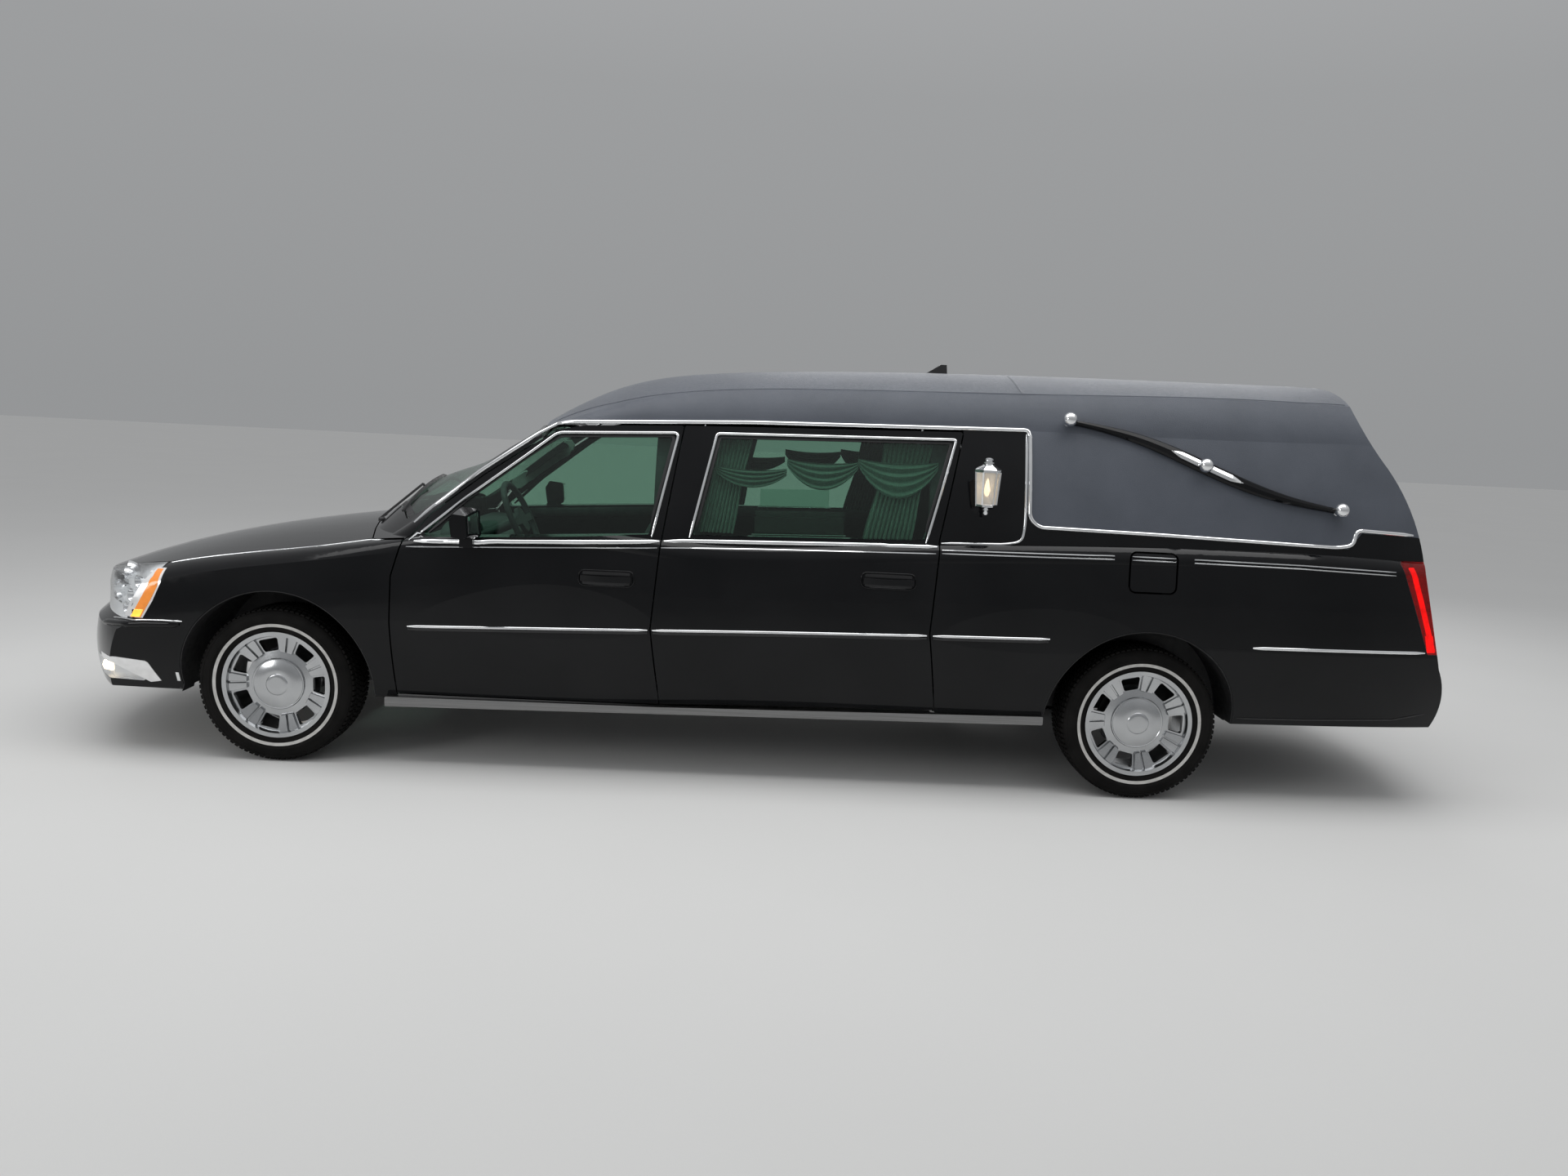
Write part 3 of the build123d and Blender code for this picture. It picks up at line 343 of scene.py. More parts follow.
def clear_finish(name, tint, facing=0.04):
    """See-through layer mixed with a mirror that grows as the view turns along the surface."""
    material = bpy.data.materials.new(name)
    material.use_nodes = True
    tree = material.node_tree
    tree.nodes.clear()
    through = add_node(tree, "BsdfTransparent", Color=(*tint, 1))
    gloss = add_node(tree, "BsdfGlossy", Roughness=0.02)
    angle = add_node(tree, "LayerWeight", Blend=0.5)
    fifth, share = add_node(tree, "Math"), add_node(tree, "Math")
    fifth.operation, share.operation = "POWER", "MULTIPLY_ADD"
    fifth.inputs[1].default_value = 5.0
    share.inputs[1].default_value = GRAZING_MIRROR - facing
    share.inputs[2].default_value = facing
    mix = add_node(tree, "MixShader")
    output = add_node(tree, "OutputMaterial")
    for source, target in (
            (angle.outputs["Facing"], fifth.inputs[0]), (fifth.outputs[0], share.inputs[0]),
            (share.outputs[0], mix.inputs[0]), (through.outputs[0], mix.inputs[1]),
            (gloss.outputs[0], mix.inputs[2]), (mix.outputs[0], output.inputs[0])):
        tree.links.new(source, target)
    return material


window_glass = clear_finish("window_glass", (0.70, 0.84, 0.77), 0.03)
lamp_lens = clear_finish("lamp_lens", (0.96, 0.965, 0.97), 0.02)
red_clear = clear_finish("red_clear", (0.86, 0.07, 0.05))
print("clear finishes: glass, front lens, tail lens")

# %% [markdown]
# A coloured lens with a bulb behind it is brighter in some places than in others, so its
# glow follows a soft noise. The pale and red linings are the bowls that the lenses show.
# The pale one glows faintly as well, and that glow is painted light: a bowl is no lamp.

# %% Lit lenses and bowls
def lit_finish(name, base, glow, strength):
    """Coloured lens with a bulb behind it, its glow uneven."""
    material = new_finish(name, base, 0.12, Coat_Weight=0.6, Coat_Roughness=0.03,
                          Emission_Color=(*glow, 1))
    spread(material, "Emission Strength", noise(26.0, 2.0), strength * 0.55, strength)
    return material


red_lens = lit_finish("red_lens", (0.60, 0.03, 0.02), (1.0, 0.16, 0.06), 1.6)
# stop_red also dresses the rear reflectors, and on them its faint glow is painted light.
stop_red = lit_finish("stop_red", (0.42, 0.015, 0.012), (1.0, 0.04, 0.02), 0.12)
amber_lens = lit_finish("amber_lens", (0.75, 0.22, 0.03), (1.0, 0.36, 0.06), 0.35)
amber_foot = lit_finish("amber_foot", (1.0, 0.42, 0.04), (1.0, 0.45, 0.05), 1.6)
# The front bowls are not lamps. Their faint glow is painted light that stands in for the light they
# throw back.
bowl_painted_glow = lit_finish("bowl_painted_glow", (0.93, 0.94, 0.94), (0.95, 0.98, 1.0), 0.12)
lamp_glow = lit_finish("lamp_glow", (0.9, 0.85, 0.75), (1.0, 0.80, 0.52), 4.0)
lamp_silver = new_finish("lamp_silver", (0.92, 0.92, 0.92), 0.22, 0.35)
spread(lamp_silver, "Base Color", noise(30.0), (0.86, 0.86, 0.86), (0.96, 0.96, 0.96))
tail_silver = new_finish("tail_silver", (0.70, 0.30, 0.28), 0.30, 0.40)
spread(tail_silver, "Base Color", noise(60.0), (0.45, 0.12, 0.10), (0.75, 0.35, 0.32))
print("finishes so far:", len(bpy.data.materials))

# %% [markdown]
# The carried-over pieces of the frame already have the right shapes, so each only needs
# its own finish. A table keeps that readable: one line for each finish, and the pieces
# that wear it.

# %% Finishes of the carried-over pieces
def both(*stems):
    """Names of the left and right pieces of some stems."""
    return tuple(f"{stem}_{side}" for stem in stems for side in ("left", "right"))


FINISHES = (
    (black_paint, both("front_door", "rear_door") + (
        "hood", "front_fenders", "rear_quarters", "tail_door", "fuel_flap", "front_bumper",
        "rear_bumper", "windscreen_frame")),
    (roof_vinyl, ("vinyl_top",)),
    (window_glass, both("front_glass", "rear_glass") + ("windscreen", "tail_glass")),
    (chrome, ("grille", "landau_bars", "coach_lamps")),
    (satin_metal, ("rockers",)),
    (wheel_metal, both("wheel_front", "wheel_rear")),
    (tyre_rubber, both("tyre_front", "tyre_rear")),
    (red_lens, ("tail_lamps",)),
    (lamp_lens, ("front_lamps", "fog_lamps")),
    (dark_plastic, ("wheelhouses", "fuel_tank", "roof_fin")),
    (cabin_trim, ("dashboard", "steering_wheel", "door_pillars")),
    (seat_leather, ("front_seats",)),
    (deck_carpet, ("casket_deck",)),
    (bare_steel, ("floor_pan", "rear_axle", "front_subframe", "exhaust")),
    (cast_metal, both("knuckle") + ("engine_block",)),
)
dressed = set()
for finish, names in FINISHES:
    for name in names:
        mesh = nodes[name].data
        if mesh.materials:
            for slot in nodes[name].material_slots:
                slot.material = finish
        else:
            mesh.materials.append(finish)
        dressed.add(name)
print("without a finish:", sorted(set(nodes) - dressed))

# %% [markdown]
# Bright trim on a car is thin strip pressed against the panels, so it has to follow
# curved sheet metal exactly. Drawing it by hand would leave it floating. Instead each
# strip is drawn flat, as seen from the side, and every point of it is cast sideways onto
# the panel, which also gives the panel's normal there. A small profile is then swept
# along those points, standing on the panel all the way.

# %% Cast points onto the panels
CAST_FROM = 2.5
MM = 1 / 1000
TREES = {}


def tree_of(*names):
    """One search tree over some nodes' faces."""
    corners, faces = [], []
    for name in names:
        mesh = nodes[name].data
        base = len(corners)
        corners += [vertex.co.copy() for vertex in mesh.vertices]
        faces += [[base + index for index in polygon.vertices] for polygon in mesh.polygons]
    return BVHTree.FromPolygons(corners, faces)


def cast(names, start, direction):
    """Point and outward normal where a ray first meets the named nodes."""
    if names not in TREES:
        TREES[names] = tree_of(*names)
    place, normal, _, _ = TREES[names].ray_cast(Vector(start), Vector(direction))
    if place is None:
        return None
    return place, -normal if normal.dot(Vector(direction)) > 0 else normal


def side_cast(names, x, z):
    """The left side of some nodes at a side-view point, x in millimetres from the front axle."""
    return cast(names, (FRONT_AXLE + x * MM, -CAST_FROM, z * MM), (0, 1, 0))


door_at, _ = side_cast(("front_door_left",), 1000, 800)
print("front door skin at y", round(door_at.y, 3))

# %% Paths with rounded corners
def rounded(points, radius, closed=False, arc_steps=6):
    """A flat path with its corners rounded."""
    points = [Vector(p) for p in points]
    count = len(points)
    path = []
    for index, corner in enumerate(points):
        if not closed and index in (0, count - 1):
            path.append(corner)
            continue
        into, away = points[index - 1] - corner, points[(index + 1) % count] - corner
        cut = min(radius, into.length / 2.2, away.length / 2.2)
        first, last = corner + into.normalized() * cut, corner + away.normalized() * cut
        for step in range(arc_steps + 1):
            t = step / arc_steps
            path.append(first * (1 - t) ** 2 + corner * 2 * t * (1 - t) + last * t * t)
    return path


def divided(path, step, closed=False):
    """The same flat path with extra points, so that it can bend with a panel."""
    path = [Vector(p) for p in path]
    dense = []
    for start, stop in zip(path, path[1:] + path[:1] if closed else path[1:]):
        parts = max(1, int((stop - start).length / step))
        dense += [start + (stop - start) * (k / parts) for k in range(parts)]
    return dense if closed else dense + [path[-1]]


print("a 100 mm line in 30 mm steps has", len(divided(((0, 0), (100, 0)), 30)), "points")

# %% [markdown]
# The sweep carries a small cross-section along a path of points and normals. A half
# round makes a bead of chrome, a flat one with bevelled edges a moulding. The profile
# sinks half a millimetre below the panel, so no light leaks under the strip. Its two
# ends are drawn in a little, as the ends of real trim are.

# %% Profiles and the faces between them
SUNK = -0.0006
END_SHARE = 0.45


def bead(width, height, steps=6):
    """Half-round profile, as (across, proud) in metres."""
    arc = [(-width / 2 * cos(pi * k / steps), height * sin(pi * k / steps))
           for k in range(steps + 1)]
    return [(-width / 2, SUNK)] + arc + [(width / 2, SUNK)]


def moulding(width, height, bevel):
    """Flat profile with bevelled edges."""
    half = width / 2
    return [(-half, SUNK), (-half, height - bevel), (-half + bevel, height), (half - bevel, height),
            (half, height - bevel), (half, SUNK)]


def between_rings(rings, count, looped=False, around=True):
    """Faces between rings of count points. looped joins the last ring to the first."""
    faces = []
    for k in range(rings if looped else rings - 1):
        a, b = k * count, (k + 1) % rings * count
        faces += [(a + i, a + (i + 1) % count, b + (i + 1) % count, b + i)
                  for i in range(count if around else count - 1)]
    return faces


def capped_rings(rings, count):
    """Faces between rings, with the first and the last ring closed."""
    last = (rings - 1) * count
    ends = [tuple(range(count))[::-1], tuple(range(last, last + count))]
    return between_rings(rings, count) + ends


print("a bead has", len(bead(0.013, 0.006)), "points")

# %% Sweep a profile
def sweep(stations, profile, closed=False):
    """Corners and faces of a profile carried along (point, normal) stations."""
    corners, count = [], len(stations)
    for index, (place, normal) in enumerate(stations):
        before = stations[index - 1][0] if index or closed else place
        after = stations[(index + 1) % count][0] if index < count - 1 or closed else place
        along = (after - before).normalized()
        across = along.cross(normal).normalized()
        outward = across.cross(along).normalized()
        share = END_SHARE if not closed and index in (0, count - 1) else 1.0
        corners += [place + across * (u * share) + outward * (v * (share if v > 0 else 1))
                    for u, v in profile]
    if closed:
        return corners, between_rings(count, len(profile), looped=True)
    return corners, capped_rings(count, len(profile))


def steady(stations, passes=3, closed=False):
    """Evens out casts. Each pass averages and then steps back, so curves keep their size."""
    count = len(stations)
    for share in (0.5, -0.53) * passes:
        calmer = []
        for k, (place, normal) in enumerate(stations):
            if closed:
                near = [stations[(k + m) % count] for m in (-1, 1)]
            else:
                near = [stations[k + m] for m in (-1, 1) if 0 < k < count - 1]
            mean = sum((n[1] for n in near), normal * 2).normalized()
            drift = sum((n[0] for n in near), Vector()) / len(near) - place if near else Vector()
            calmer.append((place + mean * (drift.dot(mean) * share), mean))
        stations = calmer
    return stations


flat = [(Vector((k, 0, 0)), Vector((0, 0, 1))) for k in range(3)]
print("a swept bead has", len(sweep(steady(flat), bead(0.013, 0.006))[1]), "faces")

# %% [markdown]
# A list of corners and faces becomes a piece in four moves: a mesh with its finish,
# faces turned outwards, smooth shading that stops at sharp edges, and a body to ride on.
# Most trim comes in pairs, so a mirror image is made from the same corners.

# %% Make a piece or a pair
SIDES = (("left", 1), ("right", -1))


def make_piece(name, corners, faces, finish, body, slot, smooth_angle=40, finish_of=None,
               finishes=()):
    """A finished mesh piece that rides on a body."""
    mesh = bpy.data.meshes.new(name)
    mesh.from_pydata([tuple(c) for c in corners], [], faces)
    for layer in (finish, *finishes):
        mesh.materials.append(layer)
    if finish_of:
        mesh.polygons.foreach_set("material_index", finish_of)
    shaped = bmesh.new()
    shaped.from_mesh(mesh)
    bmesh.ops.recalc_face_normals(shaped, faces=shaped.faces)
    shaped.to_mesh(mesh)
    shaped.free()
    mesh.polygons.foreach_set("use_smooth", [True] * len(mesh.polygons))
    mesh.set_sharp_from_angle(angle=radians(smooth_angle))
    piece = bpy.data.objects.new(name, mesh)
    scene.collection.objects.link(piece)
    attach(piece, body)
    return piece


def on_side(corners, sign):
    """The same points for sign 1, or mirrored to the right side of the car for -1."""
    return [Vector((c[0], sign * c[1], c[2])) for c in corners]


def side_pair(name, corners, faces, finish, body, slot, **more):
    """A left piece and its mirror image. A body with a {} in its name takes the side."""
    return [make_piece(f"{name}_{side}", on_side(corners, sign), faces, finish, body.format(side),
                       slot, **more)
            for side, sign in SIDES]


print("sides:", [side for side, _ in SIDES])

# %% [markdown]
# A strip puts the four steps together: round the drawn corners, divide the path, cast it
# on the panels, and sweep a profile along it. A table of strips needs only one line each.

# %% Lay strips on the sides
def strip(name, points, profile, finish, body, nodes_under, slot, radius=0, step=40, closed=False):
    """Trim drawn in the side view and pressed onto the panels on both sides."""
    path = divided(rounded(points, radius, closed) if radius else points, step, closed)
    stations = [side_cast(nodes_under, x, z) for x, z in path]
    stations = steady([met for met in stations if met], closed=closed)
    return side_pair(name, *sweep(stations, profile, closed), finish, body, slot)


def strips(rows, finish, slot):
    """Strips of one finish. A door's strip lies on that door, unless its row names other nodes."""
    made = {}
    for name, points, profile, body, radius, *under in rows:
        names = under[0] if under else (body.format("left"),)
        made[name] = strip(name, points, profile, finish, body, names, slot, radius)
    print(len(made), "pairs of strips:", slot)
    return made


# %% [markdown]
# The trim of this car, front to rear: a moulding low on the doors, a bright belt line
# under the windows, a fine double pinstripe below it, and frames round the side windows.
# Positions come from the photograph, in millimetres from the front axle and the ground.
# A strip stops at each door gap, because the doors open, and the two lines on the fuel
# flap ride on it.

# %% Side trim
FRONT_DOOR, REAR_DOOR = "front_door_{}", "rear_door_{}"
QUARTER = ("rear_quarters",)
FLAP_SKIN = ("rear_quarters", "fuel_flap")
DOOR_BEAD = bead(0.013, 0.006)
BELT_BEAD = bead(0.020, 0.008)
LINE = moulding(0.0045, 0.0006, 0.0003)
TRIM = strips((
    # name, points, profile, body, corner radius, nodes under it
    ("front_moulding", ((582, 635), (1606, 666)), DOOR_BEAD, FRONT_DOOR, 0),
    ("rear_moulding", ((1626, 666), (2800, 698)), DOOR_BEAD, REAR_DOOR, 0),
    ("quarter_moulding", ((2826, 698), (3328, 708)), DOOR_BEAD, "root", 0, QUARTER),
    ("front_belt", ((600, 999), (1640, 1045)), BELT_BEAD, FRONT_DOOR, 0),
    ("rear_belt", ((1658, 1046), (2826, 1077)), BELT_BEAD, REAR_DOOR, 0),
    ("front_line_upper", ((528, 973), (1634, 1019)), LINE, FRONT_DOOR, 0),
    ("rear_line_upper", ((1650, 1020), (2820, 1050)), LINE, REAR_DOOR, 0),
    ("quarter_line_upper", ((2846, 1066), (3649, 1078)), LINE, "root", 0, QUARTER),
    ("quarter_line_lower", ((2846, 1052), (3649, 1063)), LINE, "root", 0, QUARTER),
    ("flap_line_upper", ((3657, 1078), (3844, 1077)), LINE, "root", 0, FLAP_SKIN),
    ("flap_line_lower", ((3657, 1063), (3844, 1062)), LINE, "root", 0, FLAP_SKIN),
    ("tail_line_upper", ((3852, 1077), (4400, 1072), (4806, 1060)), LINE, "root", 0, QUARTER),
    ("tail_line_lower", ((3852, 1062), (4400, 1057), (4806, 1045)), LINE, "root", 0, QUARTER),
    ("front_frame", ((574, 1000), (612, 1032), (780, 1176), (1062, 1394), (1172, 1482),
                     (1697, 1505), (1604, 1060)), DOOR_BEAD, FRONT_DOOR, 26),
    ("rear_frame", ((1766, 1064), (1862, 1510), (2898, 1532), (2780, 1088)), DOOR_BEAD,
     REAR_DOOR, 14),
), chrome, "chrome")
for name in ("flap_line_upper", "flap_line_lower"):
    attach(TRIM[name][0], "fuel_flap")

# %% [markdown]
# One long bead starts beside the hood, climbs the windscreen pillar, follows the roof,
# drops behind the lantern panel and runs to the tail. A second one frames that panel.

# %% Roof bead and lamp panel bead
ROOF_BEAD = bead(0.019, 0.009)
LEFT_SKIN = ("front_door_left", "rear_door_left", "rear_quarters", "vinyl_top", "windscreen_frame",
             "front_fenders")
strips((
    ("roof_bead", ((560, 1064), (631, 1132), (848, 1305), (1063, 1457), (1140, 1513), (1225, 1530),
                   (2006, 1564), (3219, 1588), (3222, 1217), (3262, 1177), (3814, 1169), (4560, 1150),
                   (4628, 1162), (4640, 1228), (4900, 1216)), ROOF_BEAD, "root", 30, LEFT_SKIN),
    ("panel_bead", ((2846, 1090), (3120, 1098), (3192, 1112), (3203, 1180), (3203, 1570)),
     DOOR_BEAD, "root", 40, QUARTER),
), chrome, "chrome")

# %% [markdown]
# Much of a car is one small shape repeated: tread blocks, spoke ribs, grille slots, deck
# rollers. One Geometry Nodes tree does them all. It lays points in a row, sets the item
# on each, and turns each one a little more than the last. With no step and an even turn
# the row becomes a ring.

# %% Repeat tree with Geometry Nodes
def repeat_tree():
    """Tree that repeats an object along a step and a turn."""
    tree = bpy.data.node_groups.new("repeat", "GeometryNodeTree")
    tree.interface.new_socket("Geometry", in_out="OUTPUT", socket_type="NodeSocketGeometry")
    ports = {}
    for label, kind in (("Item", "Object"), ("Count", "Int"), ("Step", "Vector"),
                        ("Turn", "Vector"), ("Finish", "Material")):
        socket = tree.interface.new_socket(label, in_out="INPUT", socket_type="NodeSocket" + kind)
        ports[label] = socket.identifier
    start, end, item, row, index, turn, place, real, paint = (tree.nodes.new(kind) for kind in (
        "NodeGroupInput", "NodeGroupOutput", "GeometryNodeObjectInfo", "GeometryNodeMeshLine",
        "GeometryNodeInputIndex", "ShaderNodeVectorMath", "GeometryNodeInstanceOnPoints",
        "GeometryNodeRealizeInstances", "GeometryNodeSetMaterial"))
    row.mode = "OFFSET"
    turn.operation = "SCALE"
    for source, target in (
            (start.outputs["Item"], item.inputs["Object"]),
            (start.outputs["Count"], row.inputs["Count"]),
            (start.outputs["Step"], row.inputs["Offset"]), (start.outputs["Turn"], turn.inputs[0]),
            (index.outputs[0], turn.inputs["Scale"]), (row.outputs[0], place.inputs["Points"]),
            (item.outputs["Geometry"], place.inputs["Instance"]),
            (turn.outputs[0], place.inputs["Rotation"]), (place.outputs[0], real.inputs[0]),
            (real.outputs[0], paint.inputs["Geometry"]),
            (start.outputs["Finish"], paint.inputs["Material"]), (paint.outputs[0], end.inputs[0])):
        tree.links.new(source, target)
    return tree, ports


REPEAT, REPEAT_PORTS = repeat_tree()
print("inputs of the tree:", list(REPEAT_PORTS))

# %% Repeat a shape
def repeated(corners, faces, count, finish, step=(0, 0, 0), turn=(0, 0, 0)):
    """Plain mesh of one shape repeated, as corners and faces."""
    shape = bpy.data.meshes.new("item")
    shape.from_pydata([tuple(c) for c in corners], [], faces)
    item = bpy.data.objects.new("item", shape)
    holder = bpy.data.objects.new("holder", bpy.data.meshes.new("holder"))
    for helper in (item, holder):
        scene.collection.objects.link(helper)
    modifier = holder.modifiers.new("repeat", "NODES")
    modifier.node_group = REPEAT
    values = {"Item": item, "Count": count, "Step": step, "Turn": turn, "Finish": finish}
    for label, value in values.items():
        modifier[REPEAT_PORTS[label]] = value
    seen = bpy.context.evaluated_depsgraph_get()
    seen.update()
    mesh = bpy.data.meshes.new_from_object(holder.evaluated_get(seen))
    made = [v.co.copy() for v in mesh.vertices], [tuple(p.vertices) for p in mesh.polygons]
    for helper in (holder, item):
        bpy.data.objects.remove(helper)
    return made


row = repeated([(0, 0, 0), (0.1, 0, 0), (0, 0.1, 0)], [(0, 1, 2)], 5, chrome, step=(0.2, 0, 0))
print("five triangles in a row:", len(row[1]), "faces")

# %% [markdown]
# A few plain forms are drawn again and again: a block with a bevelled top, a turned ring,
# a closed ball. Each is a list of corners and a list of faces, so that several can be
# joined into one piece.

# %% Blocks, rings and balls
POLE = 0.0004


def joined(*parts):
    """Several (corners, faces) as one."""
    corners, faces = [], []
    for some_corners, some_faces in parts:
        base = len(corners)
        corners += [Vector(c) for c in some_corners]
        faces += [tuple(base + i for i in face) for face in some_faces]
    return corners, faces


def prism(outline, low, high, bevel=0.0):
    """Closed block: an outline carried from low to high on the third axis, its top bevelled."""
    outline = [Vector(p) for p in outline]
    centre = sum(outline, Vector((0, 0))) / len(outline)
    levels = [(low, 0.0), (high - bevel, 0.0)] + ([(high, bevel)] if bevel else [])
    corners = [Vector((*(p - (p - centre).normalized() * inset * 1.3), level))
               for level, inset in levels for p in outline]
    return corners, capped_rings(len(levels), len(outline))


def ring_of(profile, steps, closed=True, capped=False):
    """A profile of (along the axle, radius) turned round the Y axis."""
    count = len(profile)
    turns = [2 * pi * k / steps for k in range(steps)]
    corners = [Vector((radius * cos(turn), along, radius * sin(turn)))
               for turn in turns for along, radius in profile]
    faces = between_rings(steps, count, looped=True, around=closed)
    if capped:
        faces += [tuple(k * count for k in range(steps)),
                  tuple(k * count + count - 1 for k in range(steps))[::-1]]
    return corners, faces


def ball(radius, arcs, steps, along=0.0):
    """Closed ball on the Y axis."""
    angles = [-pi / 2 + pi * k / arcs for k in range(arcs + 1)]
    return ring_of([(along + radius * sin(t), max(radius * cos(t), POLE)) for t in angles], steps)


print("a ball has", len(ball(0.031, 16, 32)[1]), "faces")

# %% Move and aim a part
def placed(part, origin, side=1):
    """A part moved to an origin. side -1 turns its Y axis to the left of the car."""
    corners, faces = part
    moved = [Vector((origin[0] + c[0], origin[1] + side * c[1], origin[2] + c[2])) for c in corners]
    return moved, faces


def aimed(part, aim, origin):
    """A part drawn round the Y axis, turned to look along aim and moved to an origin."""
    turn = Vector((0, 1, 0)).rotation_difference(Vector(aim)).to_matrix()
    return [turn @ c + Vector(origin) for c in part[0]], part[1]


moved = placed(ball(0.02, 8, 12), (FRONT_AXLE, 0, AXLE_HEIGHT))
print("moved ball at x", round(sum(c.x for c in moved[0]) / len(moved[0]), 3))

# %% [markdown]
# A tyre is a ring of rubber with three different surfaces: smooth walls with a few
# moulded steps and a thin white line, rounded shoulders, and a tread cut into blocks.
# The ring is a turned profile, and the tread blocks are repeated round it in five rows.

# %% Tyre profile and wheel places
RIM = 0.228
WHITE_BAND = 5
TYRE_WALL = [(across, RIM + rise) for across, rise in (
    # across from the wheel's middle, rise above the rim
    (0.095, 0.001), (0.100, 0.006), (0.1045, 0.012), (0.1075, 0.020), (0.1095, 0.0285),
    (0.1112, 0.0290), (0.1132, 0.0425), (0.1120, 0.0430), (0.1152, 0.054), (0.1162, 0.055),
    (0.1162, 0.060), (0.1152, 0.061), (0.1146, 0.074), (0.1110, 0.086), (0.1122, 0.0868),
    (0.1080, 0.0945), (0.1000, 0.1005), (0.0960, 0.1010), (0.0480, 0.1040), (0.0470, 0.1020),
    (0.0180, 0.1035), (0.0170, 0.1035))]
FRONT_TRACK, REAR_TRACK = 0.794, 0.7875
WHEELS = (
    # name, hub, side
    ("front_left", (FRONT_AXLE, -FRONT_TRACK, AXLE_HEIGHT), -1),
    ("front_right", (FRONT_AXLE, FRONT_TRACK, AXLE_HEIGHT), 1),
    ("rear_left", (REAR_AXLE, -REAR_TRACK, AXLE_HEIGHT), -1),
    ("rear_right", (REAR_AXLE, REAR_TRACK, AXLE_HEIGHT), 1),
)
whole_wall = TYRE_WALL + [(-across, radius) for across, radius in reversed(TYRE_WALL)]
carcass = ring_of(whole_wall, 132)
print("carcass faces:", len(carcass[1]))

# %% Tyres
TREAD_STEPS = 88
TREAD_DEPTH = 0.008
TREAD_ROWS = (
    # middle across, outer radius, half width, half length, slant
    (0.0835, 0.3355, 0.0155, 0.0080, 0.0),
    (0.0500, 0.3380, 0.0145, 0.0078, 0.006),
    (0.0000, 0.3390, 0.0290, 0.0082, 0.010),
)
white_rubber = new_finish("white_rubber", (0.56, 0.55, 0.53), 0.6)
spread(white_rubber, "Base Color", noise(30.0, 5.0), (0.46, 0.45, 0.43), (0.60, 0.59, 0.57))


def tread_block(across, radius, half_width, half_length, slant):
    """One block of the tread, its ends slanted."""
    outline = [(across + u * half_width, v * half_length + u * slant)
               for u, v in ((-1, -1), (1, -1), (1, 1), (-1, 1))]
    corners, faces = prism(outline, radius - TREAD_DEPTH, radius, 0.0012)
    return [Vector((z, x, y)) for x, y, z in corners], faces


tread = []
for across, radius, half_width, half_length, slant in TREAD_ROWS:
    for sign in ((1, -1) if across else (1,)):
        block = tread_block(sign * across, radius, half_width, half_length, sign * slant)
        tread.append(repeated(*block, TREAD_STEPS, tyre_rubber, turn=(0, 2 * pi / TREAD_STEPS, 0)))
for name, hub, side in WHEELS:
    corners, faces = placed(joined(carcass, *tread), hub, side)
    white = [int(i < len(carcass[1]) and i % len(whole_wall) == WHITE_BAND)
             for i in range(len(faces))]
    tyre = make_piece(f"road_tyre_{name}", corners, faces, tyre_rubber, f"wheel_{name}", "tyre", 32,
                      finish_of=white, finishes=(white_rubber,))
    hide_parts(f"tyre_{name}")
print("tyre faces:", len(faces))

# %% [markdown]
# The wheel cover has seven windows with a spoke between each pair. Every spoke carries
# two raised ribs with a narrow groove between them, and a shallow polished cap sits in
# the middle with a plain boss. These are added on the turned wheel of the frame.

# %% Spoke ribs
SPOKES = 7
RIB_INNER, RIB_OUTER = 0.139, 0.2135
RIB_FOOT, FACE_LEAN = 0.0640, 0.018 / (RIB_OUTER - RIB_INNER)


def spoke_rib(sign):
    """One rib of a spoke, standing on the wheel's face."""
    outline = [(RIB_INNER, sign * 0.0035), (RIB_OUTER, sign * 0.0048),
               (RIB_OUTER - 0.001, sign * 0.0385), (RIB_OUTER - 0.012, sign * 0.0400),
               (RIB_INNER + 0.012, sign * 0.0285), (RIB_INNER, sign * 0.0250)]
    corners, faces = prism(outline, 0.0, 0.007, 0.0018)
    return [Vector((x, RIB_FOOT + (x - RIB_INNER) * FACE_LEAN * 0.9 + z * 1.2, y))
            for x, y, z in corners], faces


ribs = joined(*(repeated(*spoke_rib(sign), SPOKES, wheel_metal, turn=(0, 2 * pi / SPOKES, 0))
                for sign in (1, -1)))
half_pitch = Matrix.Rotation(pi / SPOKES, 3, "Y")
ribs = [half_pitch @ c for c in ribs[0]], ribs[1]
print("rib faces:", len(ribs[1]))

# %% Wheel covers
LIP = ((0.094, 0.2325), (0.0985, 0.2350), (0.1015, 0.2335), (0.1010, 0.2290), (0.0960, 0.2225),
       (0.0860, 0.2165), (0.0820, 0.2160), (0.0820, 0.2200), (0.0900, 0.2300))
CAP = ((0.074, 0.114), (0.079, 0.1145), (0.0830, 0.1120), (0.0835, 0.1085), (0.0815, 0.1060),
       (0.0880, 0.0900), (0.0930, 0.0700), (0.0950, 0.0520), (0.0945, 0.0475), (0.0965, 0.0455),
       (0.0985, 0.0420), (0.0992, 0.0300), (0.0995, 0.0150), (0.0995, 0.0010))
cover = joined(ring_of(LIP, 96), ring_of(CAP, 96, closed=False, capped=True))
for name, hub, side in WHEELS:
    for label, part in (("spoke_ribs", ribs), ("wheel_cover", cover)):
        make_piece(f"{label}_{name}", *placed(part, hub, side), wheel_metal, f"wheel_{name}",
                   "wheel_metal", 30)
print("cover faces:", len(cover[1]))

# %% [markdown]
# A lamp is a clear skin over a bright bowl. The solid of the frame already has the exact
# outside of the lens, so its outer patch is lifted off by growing from one face over all
# neighbours that meet it smoothly. Solidified, that patch is the lens, and the rest of
# the solid becomes the bowl behind it.

# %% Lens and bowl from a lamp solid
SMOOTH = radians(60)
WELD = 1e-5


